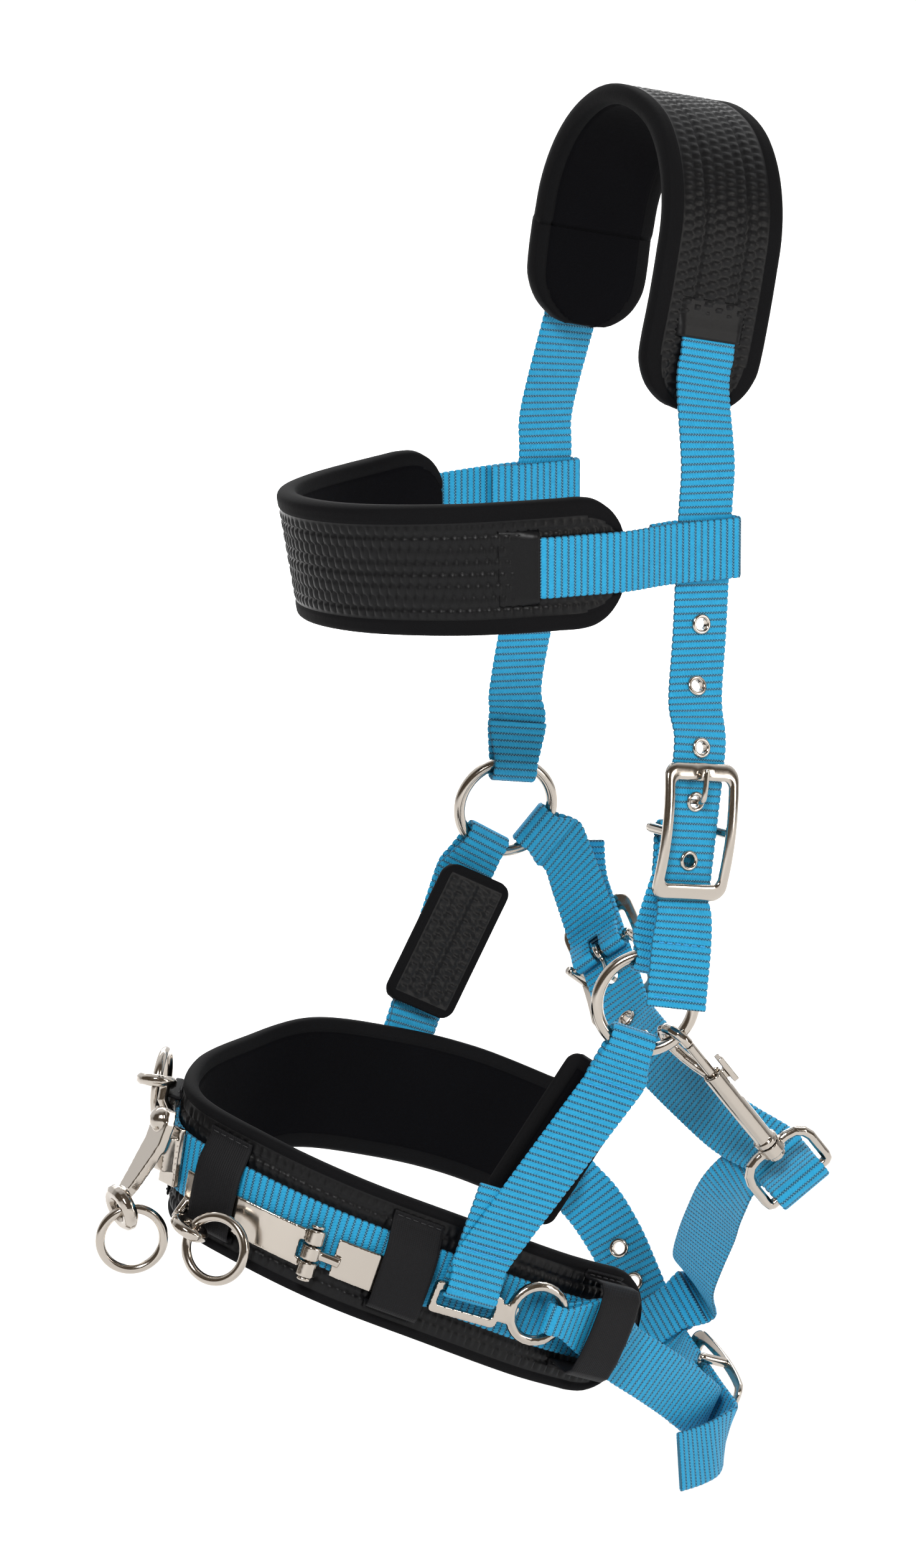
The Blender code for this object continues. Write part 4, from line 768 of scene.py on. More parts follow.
PAD_STEP = 1.0            # spacing of a pad's mesh
PAD_ROUND = 3.0           # how far in from the edge a pad's faces round off
PANEL_DEPTH, PANEL_RISE = 0.9, 1.15    # the panel below the binding, its pattern above that
LINING_SEAM = 6.0         # from the edge to where the lining is sewn to the binding


def emboss(u, s, pitch):
    """Height of the cover's raised pattern, 0 to 1, at u across and s along: short bars in
    columns, like a basket weave."""
    column = u / pitch
    shift = 0.5 if int(math.floor(column)) % 2 else 0.0
    a = column % 1.0 - 0.5
    b = (s / (pitch * 0.8) + shift) % 1.0 - 0.5
    return max(0.0, 1 - (abs(a) * 2.05) ** 6) * max(0.0, 1 - (abs(b) * 2.15) ** 4)


def pad(name, stations, outs, width, low, high, body, nodes, binding=7.5,
        strap_lane=0.0, pitch=5.0):
    """A flat stuffed pad: bound edges, a raised pattern on the outer face, a smooth lining.

    low and high are its faces' levels from the stations, along outs. strap_lane is the half
    width of the plain middle that a strap lies on.
    """
    line = Line(stations, 3)
    length = line.length
    count, cells = int(length / PAD_STEP), int(width / PAD_STEP)
    hand = 1 if line(length / 2)[2].dot(outs[len(outs) // 2]) > 0 else -1
    centre_level, half_level = (high + low) / 2, (high - low) / 2

    def place(s, j):
        """How far column j lies from the pad's middle at s, and from its edge."""
        w = line(s)[3]
        c = j / cells * 2 - 1
        c = math.sin(c * math.pi / 2) * 0.35 + c * 0.65       # closer together at the edges
        u = c * w / 2
        return u, min(w / 2 - abs(u), min(s, length - s) + (width - w) / 4)

    def levels(u, s, from_edge):
        """Height of the outer face, and depth of the lining, from the pad's middle."""
        if from_edge < 0.02:
            return 0.12, 0.12
        rim = math.sqrt(max(0.0, 1 - max(0.0, 1 - from_edge / PAD_ROUND) ** 2))
        stuffed = half_level * (0.35 + 0.65 * rim)
        top = stuffed
        if from_edge > binding + 0.8:
            lift = emboss(abs(u) - strap_lane if strap_lane else u, s, pitch)
            fade = min(1.0, (from_edge - binding - 0.8) / 0.9)
            if strap_lane and abs(u) < strap_lane:
                lift, fade = 0.0, 0.5
            top += (-PANEL_DEPTH + PANEL_RISE * lift) * fade
        else:
            top += 0.25 * rim
        top -= 0.7 * math.exp(-((from_edge - binding) / 0.8) ** 2)
        return top, stuffed - 0.8 * math.exp(-((from_edge - LINING_SEAM) / 0.7) ** 2)

    points, faces, finishes, uvs = [], [], [], []
    top_rows, low_rows = [], []
    for i in range(count + 1):
        s = length * i / count
        centre, side, normal, _ = line(s)
        out = normal * hand
        tops, lows = [], []
        for j in range(cells + 1):
            u, from_edge = place(s, j)
            top, bulge = levels(u, s, from_edge)
            point = centre + side * u
            tops.append(len(points))
            points.append(point + out * (centre_level + top))
            uvs.append((u, s))
            if j in (0, cells) or i in (0, count):
                lows.append(tops[-1])
            else:
                lows.append(len(points))
                points.append(point + out * (centre_level - bulge))
                uvs.append((u + 2 * BACK_SHIFT, s))
        top_rows.append(tops)
        low_rows.append(lows)
    for i in range(count):
        for j in range(cells):
            _, from_edge = place(length * (i + 0.5) / count, j + 0.5)
            a, b = top_rows[i], top_rows[i + 1]
            faces.append((a[j], b[j], b[j + 1], a[j + 1]))
            finishes.append(1 if from_edge > binding else 0)
            a, b = low_rows[i], low_rows[i + 1]
            faces.append((a[j], a[j + 1], b[j + 1], b[j]))
            finishes.append(0 if from_edge < LINING_SEAM else 2)
    mesh = mesh_from(name, points, faces, uvs, finishes)
    face_outwards(mesh)
    made = place_piece(name, mesh, [BINDING, EMBOSSED, LINING], body, nodes)


LIP_INSIDE, LIP_OUTSIDE = 11.0, 5.0    # how far a lip reaches to each side of its slit
LIP_SPARE = 0.9           # the lip's edge beyond the strap, across it and above it
LIP_SKIRT = 2.2           # slope from the lip's edge down to the pad
LIP_TOP = COVER_OUT + COVER_T / 2 - 0.6    # just inside the cover's outer face
LIP_ROWS, LIP_COLUMNS = 16, 24
SURFACED = 1.5            # level over the pad's middle where the strap comes out


def slit_lip(name, stations, outs, strap, inside, outside, body):
    """The cover's bound edge over a strap, where the strap comes out of the pad's slit.

    inside and outside are places along the pad, in mm, measured from its far end if negative.
    """
    base, threaded = Line(stations, 3), Line(strap)
    middle = base(base.length / 2)
    hand = 1 if middle[2].dot(outs[len(outs) // 2]) > 0 else -1
    if inside < 0:
        inside, outside = base.length + inside, base.length + outside
    along = [threaded(threaded.length * k / 700)[0] for k in range(701)]

    def level(s):
        centre, _, normal, _ = base(s)
        near = min(along, key=lambda p: (p - centre - normal * hand * 2.0).length)
        return (near - centre).dot(normal * hand)

    step = 0.5 if outside > inside else -0.5
    s = inside
    while level(s) < SURFACED and abs(s - outside) > 1.0:
        s += step
    way = math.copysign(1, step)
    start, end = s - LIP_INSIDE * way, s + LIP_OUTSIDE * way
    points, faces = [], []
    rows, columns, half = LIP_ROWS, LIP_COLUMNS, WEB_W / 2 + LIP_SPARE
    for i in range(rows + 1):
        t = i / rows
        s = start + (end - start) * t
        centre, side, normal, _ = base(s)
        out = normal * hand
        rise = max(level(s) + WEB_T / 2, LIP_TOP) + LIP_SPARE - LIP_TOP
        rise *= min(1.0, 0.3 + t * 1.6)
        rise -= 0.35 * max(0.0, t - 0.85) / 0.15
        for j in range(columns + 1):
            u = (j / columns * 2 - 1) * (half + LIP_SKIRT)
            fall = min(1.0, max(0.0, (half + LIP_SKIRT - abs(u)) / LIP_SKIRT))
            fall = fall * fall * (3 - 2 * fall)
            seam = 0.35 * math.exp(-((abs(u) - half - 0.4) / 0.5) ** 2)
            points.append(centre + side * u + out * (LIP_TOP + rise * fall - seam))
    for i in range(rows + 1):
        centre, side, normal, _ = base(start + (end - start) * i / rows)
        for j in range(columns + 1):
            u = (j / columns * 2 - 1) * (half + LIP_SKIRT)
            points.append(centre + side * u + normal * hand * (LIP_TOP - 1.2))
    w, sheet = columns + 1, (rows + 1) * (columns + 1)
    for i in range(rows):
        for j in range(columns):
            a = i * w + j
            faces += [(a, a + 1, a + w + 1, a + w),
                      (a + sheet, a + w + sheet, a + w + 1 + sheet, a + 1 + sheet)]
    rim = [j for j in range(columns)] + [i * w + columns for i in range(rows)]
    rim += [rows * w + j for j in range(columns, 0, -1)] + [i * w for i in range(rows, 0, -1)]
    for a, b in zip(rim, rim[1:] + rim[:1]):
        faces.append((a, a + sheet, b + sheet, b))
    mesh = mesh_from(name, points, faces)
    face_outwards(mesh)
    place_piece(name, mesh, [EMBOSSED], body)


# ---- the crown --------------------------------------------------------------
CROWN_TOP = FOAM_T + GAP + WEB_T / 2       # the strap's middle at the top of the arch
CROWN_HALF = 57.0                          # half the arch's width
CROWN_RISE = 58.0                          # height of its round part
NEAR_LEAN, FAR_LEAN = 0.22, 0.14           # how far the arms come forward as they go down
NEAR_ARM_END, FAR_ARM_END = -89.0, -71.0   # where the pads' round ends begin


def crown_point(degrees):
    """A point of the arch; 0 is the near side, 180 the far side."""
    a = math.radians(degrees)
    z = CROWN_TOP - CROWN_RISE * (1 - math.sin(a))
    return lean(Vector((0, -CROWN_HALF * math.cos(a), z)))


def lean(point):
    slope = NEAR_LEAN if point.y < 0 else FAR_LEAN
    return Vector((point.x + slope * min(point.z, 0.0), point.y, point.z))


FAR_LOOP_ANGLE = 85.3                       # where the far ring hangs in its loop
CROWN_SIDE = unit(0.977, 0, -0.212)
BUCKLE_BAR = Vector((-43, -86.5, -277))
BUCKLE_UP = unit(0.15, 0.045, 0.99)
BUCKLE_OUT = square_to(Vector((0.05, -1, 0)), BUCKLE_UP)
BUCKLE_SIDE = BUCKLE_UP.cross(BUCKLE_OUT)
TAIL_DOWN = -unit(0.22, 0.22, 0.95)
TAIL_SIDE = square_to(Vector((0.96, -0.27, -0.1)), TAIL_DOWN)


def crown_run():
    """The arch from the near arm's end over the poll to the far arm's end."""
    near = [lean(Vector((0, -CROWN_HALF - 1.0, z))) for z in (NEAR_ARM_END, -70.0)]
    far = [lean(Vector((0, CROWN_HALF + 1.0, z))) for z in (-55.0, FAR_ARM_END)]
    arch = [crown_point(a) for a in range(0, 181, 12)]
    return [(p, CROWN_SIDE, WEB_W) for p in near + arch + far]


def crown_out(centre):
    return Vector((0, centre.y, max(centre.z + 70, 0)))


def build_crown(body):
    run = crown_run()
    outs = outwards(run, crown_out)
    pad_run = rounded_ends(run, CROWN_W, 24.0)
    pad("crown_pad", pad_run, outwards(pad_run, crown_out), CROWN_W, FOAM_IN - FOAM_T / 2,
        COVER_OUT + COVER_T / 2, body, ("crown_pad_lining", "crown_pad_cover"))
    return run, outs


def build_crown_strap(root, run, outs):
    """One strap: near tail, crown buckle, eyelets, over the poll, down to the far ring."""
    # Down the near side: from the slit in the pad cover to the end of the tail.
    near_top = run[0][0] + outs[0] * (OVER_COVER + 0.5)
    out = BUCKLE_OUT
    up = BUCKLE_UP
    rail = BUCKLE_H / 2
    tail_start = BUCKLE_BAR - up * (rail + 6) + out * (STRAP_LEVEL + 2.4)
    tail = [(tail_start + TAIL_DOWN * d, side, WEB_W)
            for d, side in ((38.0, TAIL_SIDE), (26.0, TAIL_SIDE), (13.0, TAIL_SIDE))]
    levels = ((-rail - 6, 2.4), (-rail, 0.1), (-rail + 6, 0), (-8, 0), (0, 0), (TONGUE_HOLE, 0),
              (rail - 4, 0), (rail + 10, -1.0))
    through = [(BUCKLE_BAR + up * x + out * (STRAP_LEVEL + dz), BUCKLE_SIDE, WEB_W)
               for x, dz in levels]
    through[0] = (through[0][0], (BUCKLE_SIDE * 2 + TAIL_SIDE).normalized(), WEB_W)
    brow = near_strap_line()
    near_side = [(p, unit(1, 0, -0.06), WEB_W) for p in reversed(brow)]
    slit = [(p, CROWN_SIDE, WEB_W) for p in (near_top + Vector((-2.4, -0.9, -12)), near_top)]
    near = smooth(tail + through + near_side + slit, 3)
    # Over the poll, between cover and lining.
    middle = run[1:-1]
    # Down the far side to the far ring.
    far_line = far_strap_line()
    bar, radial = on_ring(FAR_RING, FAR_RING_N, FAR_LOOP_ANGLE)
    away = square_to(far_line[-1] - FAR_RING_N * LAYER / 2 - bar, FAR_RING_N.cross(radial))
    far_out = square_to(FAR_RING_N, away)
    loop = looped_end(bar, away, far_out, Vector((1, 0, 0)), RING_WIRE + 1.0 + WEB_T / 2,
                      depth=3.0, pinch=PINCH_W, tail=17.0)
    far_top = run[-1][0] + outs[-1] * (OVER_COVER + 0.5)
    far = [(far_top, CROWN_SIDE, WEB_W), (far_top + Vector((-1.7, 0.9, -12)), CROWN_SIDE, WEB_W)]
    far += [(p, unit(1, 0, -0.06), WEB_W) for p in far_line]
    far += [(bar + away * 21 + far_out * (LAYER / 2 + 0.1), loop[-1][1], WEB_W), loop[-1]]
    stations = near + middle + smooth(far, 3) + loop[::-1][1:]
    stitches("crown_strap_seams", strap_rows(stations, (4.0, 26.0, -34.0, -40.0)), root)
    slit_lip("crown_near_lip", run, outs, stations, 34.0, 6.0, root)
    slit_lip("crown_far_lip", run, outs, stations, -34.0, -6.0, root)
    return strip("crown_strap", stations, root), near


SLIDE = unit(-0.05, 0, -1)             # the browband slides along this line
BROW_Z = -166.0
NEAR_AT_BROW = Vector((-27, -73, BROW_Z))   # the crown strap's middle, where it is wrapped
FAR_AT_BROW = Vector((-20, 75, BROW_Z))


def near_strap_line():
    """The near crown strap from above the browband to above the crown buckle."""
    centre = NEAR_AT_BROW
    return [centre - SLIDE * 36, centre - SLIDE * 18, centre, centre + SLIDE * 18,
            centre + SLIDE * 36, Vector((-35, -81, -226))]


def far_strap_line():
    centre = FAR_AT_BROW
    return [centre - SLIDE * 36, centre - SLIDE * 18, centre, centre + SLIDE * 18,
            centre + SLIDE * 36, Vector((-27, 78, -226)), Vector((-31, 79, -250))]


CROWN_EYELET_Z = (-196.5, -220.5, -243.5)   # heights of the three free eyelets


def strap_at_height(stations, z):
    """The middle of a falling strap at a height, and its normal."""
    for i in range(len(stations) - 1):
        low, high = sorted((stations[i][0].z, stations[i + 1][0].z))
        if low <= z <= high:
            t = (z - stations[i][0].z) / (stations[i + 1][0].z - stations[i][0].z)
            return on_strap(stations, i, t)
    raise ValueError("height off the strap")


def build_crown_fittings(root, tongues, strap, line):
    """The crown buckle, the short strap that carries it, and five eyelets."""
    buckle("crown_buckle", basis(BUCKLE_BAR, BUCKLE_UP, BUCKLE_OUT), root, tongues)
    # The short strap: round the buckle's bar and round the near ring, its ends butted inside.
    like = BUCKLE_SIDE
    ring_bar, ring_away = on_ring(NEAR_RING, NEAR_RING_N, 77.0)
    top = looped_end(BUCKLE_BAR, -BUCKLE_UP, BUCKLE_OUT, like, BAR_R + GAP + WEB_T / 2, tail=18.0)
    low = looped_end(ring_bar, ring_away, NEAR_RING_N, like, RING_WIRE + 1.0 + WEB_T / 2,
                     depth=3.0, pinch=PINCH_W, tail=11.0, lead=8.0)
    strip("crown_buckle_strap", folded(top, low), root, slots=((2, len(top) - 2),))
    for number, z in enumerate(CROWN_EYELET_Z, 1):
        centre, normal = strap_at_height(line, z)
        eyelet(f"crown_eyelet_{number}", strap, centre, normal, root)
    for number, x in enumerate((TONGUE_HOLE, TONGUE_HOLE - 24.0), 4):
        centre = BUCKLE_BAR + BUCKLE_UP * x + BUCKLE_OUT * STRAP_LEVEL
        eyelet(f"crown_eyelet_{number}", strap, centre, BUCKLE_OUT, root)


# ---- the browband -----------------------------------------------------------

def brow_height(x):
    """The band stands upright at the sides and leans forward at the brow."""
    return unit(-0.22 * max(0.0, (-110 - x) / 60), 0, 1)


def build_browband(body):
    points = [(-86, -76.5, -166), (-102, -75, -166), (-128, -65, -167), (-150, -46, -168.5),
              (-163, -24, -170), (-168, 0, -171), (-163, 24, -172), (-150, 44, -172.5),
              (-130, 60, -172.5), (-106, 70.5, -171.5), (-90, 73, -170)]
    run = smooth([(Vector(p), brow_height(p[0]), WEB_W) for p in points], 2)

    def outer(centre):
        return Vector((min(centre.x + 90, 0), centre.y, 0))

    outs = outwards(run, outer)
    pad_run = rounded_ends(run, BROW_W, 20.0)
    pad_outs = outwards(pad_run, outer)
    pad("browband_pad", pad_run, pad_outs, BROW_W, FOAM_IN - FOAM_T / 2,
        COVER_OUT + COVER_T / 2, body, ("browband_lining", "browband_cover"))
    # The strap: inside the pad, out through a slit at each end, round the crown strap.
    inside = run[3:-3]
    near = brow_loop(NEAR_AT_BROW, -1, pad_run[:7], pad_outs[:7])
    far = brow_loop(FAR_AT_BROW, 1, pad_run[:-8:-1], pad_outs[:-8:-1])
    threaded = near + inside + far[::-1]
    strip("browband_strap", threaded, body)
    slit_lip("browband_near_lip", run, outs, threaded, 45.0, 8.0, body)
    slit_lip("browband_far_lip", run, outs, threaded, -45.0, -8.0, body)


def brow_loop(strap_centre, hand, pad_run, pad_outs):
    """From the sewn tail inside the crown strap, round its rear edge, and onto the pad."""
    clear = 1.0
    r = WEB_T + clear + 0.1
    rear = strap_centre.x + WEB_W / 2 + 0.6
    y = strap_centre.y

    def place(x, offset):
        return (Vector((x, y + hand * offset, strap_centre.z)), UP, WEB_W)

    front_edge = strap_centre.x - WEB_W / 2
    tail = [place(front_edge - ahead, offset) for ahead, offset in ((12, -0.3), (5, -1.6), (0, -r))]
    bend = [place(rear + r * math.sin(math.radians(a)), -r * math.cos(math.radians(a)))
            for a in range(0, 181, 30)]
    on_pad = [(pad_run[i][0] + pad_outs[i] * OVER_COVER, UP, WEB_W) for i in (0, 4, 5, 6)]
    front = [place(front_edge - 4, r)]
    return tail + bend + front + on_pad


# ---- noseband, keepers --------------------------------------------------------
NOSE_LINE = [   # middle of the noseband, from the near end round the nose: point, height direction
    ((-70, -63, -489), (0.37, -0.12, 0.92)),
    ((-98, -67, -478), (0.36, -0.13, 0.92)), ((-140, -65, -459), (0.32, -0.14, 0.93)),
    ((-182, -54, -440), (0.26, -0.14, 0.95)), ((-213, -33, -423), (0.20, -0.10, 0.97)),
    ((-228, 0, -411), (0.16, 0.0, 0.98)), ((-211, 31, -406), (0.20, 0.10, 0.97)),
    ((-180, 49, -403), (0.26, 0.14, 0.95)), ((-146, 58, -401), (0.30, 0.16, 0.94)),
    ((-104, 63, -411), (0.34, 0.16, 0.93)), ((-66, 65, -424), (0.36, 0.15, 0.92)),
    ((-30, 62, -441), (0.37, 0.14, 0.92)),
]


def nose_outer(centre):
    return Vector((min(centre.x + 110, 0), centre.y, 0))


class Band:
    """The noseband's middle line, measured along the strap from the front of the nose:
    negative on the near side, positive on the far side."""

    def __init__(self):
        self.run = smooth([(Vector(p), unit(*side), WEB_W) for p, side in NOSE_LINE], 6)
        self.outs = outwards(self.run, nose_outer)
        lengths = [0.0]
        for (a, _, _), (b, _, _) in zip(self.run, self.run[1:]):
            lengths.append(lengths[-1] + (b - a).length)
        front = min(range(len(self.run)), key=lambda i: self.run[i][0].x)
        self.at = [value - lengths[front] for value in lengths]

    def axes(self, s):
        """Middle point, direction away from the front, height direction, outward."""
        i = max(k for k in range(len(self.at) - 1) if self.at[k] <= s or k == 0)
        t = (s - self.at[i]) / (self.at[i + 1] - self.at[i])
        (a, side_a, _), (b, side_b, _) = self.run[i], self.run[i + 1]
        out = self.outs[i].lerp(self.outs[i + 1], t).normalized()
        height = square_to(side_a.lerp(side_b, t), out)
        away = out.cross(height) if s > 0 else height.cross(out)
        if away.dot((b - a) * (1 if s >= 0 else -1)) < 0:
            away = -away
        return a.lerp(b, t), away, height, out

    def point(self, s, h=0.0, level=0.0):
        centre, _, height, out = self.axes(s)
        return centre + height * h + out * level


def build_noseband(body, band):
    run = band.run
    pad_run = rounded_ends(run, NOSE_W, 22.0)
    middle = -(WEB_T / 2 + GAP + 3.0)
    pad("noseband", pad_run, outwards(pad_run, nose_outer), NOSE_W, middle - 3.0, middle + 3.0,
        body, ("noseband_pad",), binding=4.5, strap_lane=13.2,
        pitch=4.4)
    strip("noseband_strap", run, body)
    stitches("noseband_seams", strap_rows(run, (5.0, 9.0, -5.0, -9.0), both=False), body)


FITTING_LEVEL = 6.2
KEEPERS = (     # name, place along the band, half width, what it crosses
    ("near_front_keeper", -25.5, 9.5, "iron"), ("near_middle_keeper", -108.0, 11.0, "iron"),
    ("near_rear_keeper", -197.5, 10.0, "strap"), ("far_front_keeper", 25.0, 10.0, "iron"),
    ("far_middle_keeper", 108.0, 11.0, "iron"), ("far_rear_keeper", 224.5, 9.5, "strap"),
)


def build_keeper(name, band, s, half, crosses, body):
    """A loop sewn to the pad on both sides of the strap, following the band's curve."""
    hand = -1 if s < 0 else 1
    if crosses == "iron":
        flat = [(-21.5, -0.35), (-18.0, -0.35), (-17.2, 5.6), (4.5, 5.6), (13.8, 1.95),
                (18.0, -0.35), (21.5, -0.35)]
        if hand > 0:
            flat = [(-h, level) for h, level in flat][::-1]
    else:
        middle = 3.0 if hand < 0 else 4.4
        flat = [(-21.5, -0.35), (-18.4, -0.35), (-17.2, 14.6), (17.2, 14.6), (18.4, -0.35),
                (21.5, -0.35)]
        flat = [(h + middle, level) for h, level in flat]
    line = smooth([(Vector((h, level, 0)), Vector((0, 0, 1)), 1.0) for h, level in flat], 4)
    columns = 15
    points, faces, uvs, rows = [], [], [], []
    for k, (at, _, _) in enumerate(line):
        before, after = line[max(k - 1, 0)][0], line[min(k + 1, len(line) - 1)][0]
        along = (after - before).normalized()
        normal = Vector((-along.y, along.x, 0))
        rows.append((at, normal))
    for hand_level in (0.55, -0.55):
        for at, normal in rows:
            place = at + normal * hand_level
            for c in range(columns):
                u = -half + 2 * half * c / (columns - 1)
                edge = 0.45 if c in (0, columns - 1) else 0.0
                points.append(band.point(s + u, place.x, place.y - edge * hand_level))
                uvs.append((u, at.x))
    sheet = len(rows) * columns
    for layer in (0, 1):
        for k in range(len(rows) - 1):
            for c in range(columns - 1):
                i = layer * sheet + k * columns + c
                quad = (i, i + 1, i + columns + 1, i + columns)
                faces.append(quad if layer else quad[::-1])
    rim = [k * columns for k in range(len(rows))]
    rim += [(len(rows) - 1) * columns + c for c in range(1, columns)]
    rim += [k * columns + columns - 1 for k in range(len(rows) - 2, -1, -1)]
    rim += list(range(columns - 2, 0, -1))
    for a, b in zip(rim, rim[1:] + rim[:1]):
        faces.append((a, b, b + sheet, a + sheet))
    mesh = mesh_from(name, points, faces, uvs)
    face_outwards(mesh)
    place_piece("ribbon_" + name, mesh, [RIBBON], body, (name,))
    outward = band.axes(s)[3]
    runs = [(band.point(s - half + 1.0, h, 0.45), band.point(s + half - 1.0, h, 0.45), outward)
            for h in (flat[0][0] + 1.6, flat[-1][0] - 1.6)]
    stitches("seams_" + name, runs, body, BLACK_THREAD)


# ---- cheeks, chin and throat ---------------------------------------------------
LINER_W = 34.0                            # cheek liner width
PAD_STOP = {"near": 62.0, "far": 54.0}     # how much shorter the liner's straight part is
PAD_SHIFT = {"near": 0.0, "far": 6.0}      # how far forward its lower end lies
PAD_LEVEL = {"near": 7.4, "far": 6.4}      # from the strap's middle to the liner's
BAR_LOOP = 3.5                           # centre line of a strap round a 3.5 x 3 mm bar


def build_cheek(side, ring, ring_n, degrees, fitting, body):
    """The folded cheek strap between a cheek ring and a fitting's slot, and its liner."""
    slot_at, _, away, height, out = fitting
    bar = slot_at + height * 4.95
    ring_bar, ring_away = on_ring(ring, ring_n, degrees)
    along = square_to((ring_bar - bar), away)
    low = looped_end(bar, along.normalized(), out, away, BAR_LOOP, tail=44.0, pinch=23.4)
    low = [(c, s, min(w, 23.4) if i < 11 else w) for i, (c, s, w) in enumerate(low)]
    tangent = ring_n.cross(ring_away)
    down = square_to(bar - ring_bar, tangent)
    down = square_to(down, ring_n)
    high = looped_end(ring_bar, down, ring_n, away,
                      RING_WIRE + 0.4 + WEB_T / 2, depth=3.8, pinch=PINCH_W, tail=18.0)
    stations = folded(high, low)
    strip(f"{side}_cheek_strap", stations, body)
    run = (bar - ring_bar)
    length = run.length
    face = (ring_n + out).normalized()
    face = square_to(face, run.normalized())
    seam_line = Line(stations)
    seams = []
    for place, shift in ((high[-1], 2.0), (low[-1], -6.0)):
        s = seam_line.nearest(place[0]) + shift
        _, across, normal, width = seam_line(s)
        outward = normal if normal.dot(out) > 0 else -normal
        level = outward * (WEB_T / 2 + 0.15)
        reach = across * (width / 2 - 2.4)
        for d in (0.0, 3.0):
            on_seam = seam_line(s + d)[0] + level
            seams.append((on_seam - reach, on_seam + reach, outward))
    stitches(f"{side}_cheek_seams", seams, body)
    across = run.cross(face).normalized()
    forward = across if across.x < 0 else -across
    line = []
    for k in range(5):
        d = 18.0 + (length - PAD_STOP[side]) * k / 4
        middle = ring_bar + run.normalized() * d - face * PAD_LEVEL[side]
        line.append((middle + forward * (PAD_SHIFT[side] * k / 4), across, LINER_W))
    cheek_run = rounded_ends(line, LINER_W, 6.0)
    pad(f"{side}_cheek_liner", cheek_run, [-face] * len(cheek_run), LINER_W, -2.0, 2.0, body,
        (f"{side}_cheek_pad",), binding=4.0, pitch=4.2)


CHIN_BAR = Vector((2.5, -12, -535))
CHIN_RUN = unit(0.162, 0.957, 0.236)      # from the near strap's end towards the far strap
CHIN_OUT = square_to(Vector((0.944, -0.081, -0.318)), CHIN_RUN)
CHIN_SIDE = -CHIN_RUN.cross(CHIN_OUT)


def fitting_loop(fitting):
    """A chin strap's end round a fitting's ring: its stations, direction and height."""
    _, ring_at, away, height, out = fitting
    inward = (away - out * 0.165).normalized()
    return looped_end(ring_at + away * 11.6, inward, out, height, 3.6, depth=4.4, pinch=13.0,
                      tail=16.0), inward, height


def build_chin(near_fitting, far_fitting, body):
    """The two chin straps, joined by the chin buckle below the jaw."""
    buckle("chin_buckle", basis(CHIN_BAR, CHIN_RUN, CHIN_OUT), body, "chin_tongue")
    # near strap: round the near fitting's ring, back under the keeper, round the buckle's bar
    start, inward, height = fitting_loop(near_fitting)
    end = looped_end(CHIN_BAR, -CHIN_RUN, CHIN_OUT, CHIN_SIDE, BAR_R + GAP + WEB_T / 2, tail=16.0)
    first = start[-1][0]
    points = [first, first + inward * 9, Vector((-60, -66.5, -498)), Vector((-43, -62, -510)),
              Vector((-26, -55, -522)), Vector((-12, -48, -533)), Vector((-3, -37.5, -540)),
              end[-1][0]]
    hints = [height, height, Vector((.36, -.15, .92)), Vector((.35, -.18, .92)),
             Vector((.34, -.2, .92)), Vector((.32, -.24, .92)), CHIN_SIDE, CHIN_SIDE]
    middle = smooth(ribbon(points, hints), 3)
    strip("near_chin_strap", start[:-1] + middle + end[::-1][1:], body,
          slots=((len(start) - 1 + len(middle), len(start) + len(middle) + len(end) - 5),))
    # far strap: round the far fitting's ring, down and across, through the buckle, free tail
    start, inward, height = fitting_loop(far_fitting)
    first = start[-1][0]
    run, up = CHIN_RUN, CHIN_SIDE
    inside = [CHIN_BAR + run * x + CHIN_OUT * STRAP_LEVEL for x in (39, 28, 8, -16, -33)]
    points = [first, first + inward * 10, Vector((-14, 64.5, -458)), Vector((-3, 60, -472)),
              Vector((4, 53, -487)), Vector((6.5, 44, -500)), Vector((9.5, 36, -513))] + inside
    points += [Vector((-2, -50, -546)), Vector((-10, -56, -548)), Vector((-20, -60, -549)),
               Vector((-31, -64, -549))]
    hints = [height, height, Vector((.42, .1, .9)), Vector((.5, -.15, .8)),
             Vector((.58, -.38, .66)), Vector((.6, -.5, .6)), Vector((.5, -.5, .7))]
    hints += [up] * 5 + [Vector((.1, -.1, .98)), Vector((-.05, .0, .99)), Vector((-.1, .05, .99)),
                         Vector((-.1, .05, .99))]
    line = smooth(ribbon(points, hints), 3)
    strap = strip("far_chin_strap", start[:-1] + line, body)
    for number, index in enumerate((12, 15), 1):
        centre, normal = on_strap(line, index, 0.5)
        eyelet(f"chin_eyelet_{number}", strap, centre, normal, body)
    punch(strap, CHIN_BAR + run * TONGUE_HOLE + CHIN_OUT * STRAP_LEVEL, CHIN_OUT)
    return line


THROAT_BAR = Vector((4.5, 70, -365))
THROAT_RUN = unit(-0.15, -0.80, -0.58)
THROAT_SIDE = square_to(Vector((0.6, -0.2, 0.77)), THROAT_RUN)
THROAT_OUT = -THROAT_RUN.cross(THROAT_SIDE)
SNAP_AXIS = unit(0.62, 0.05, -0.735)
D_AXIS = square_to(Vector((0.712, -0.218, 0.668)), SNAP_AXIS)      # along the D loop's bar
D_WIRE = 2.25
THROAT_END = unit(-0.158, 0.928, 0.338)   # from the D loop along the throat strap


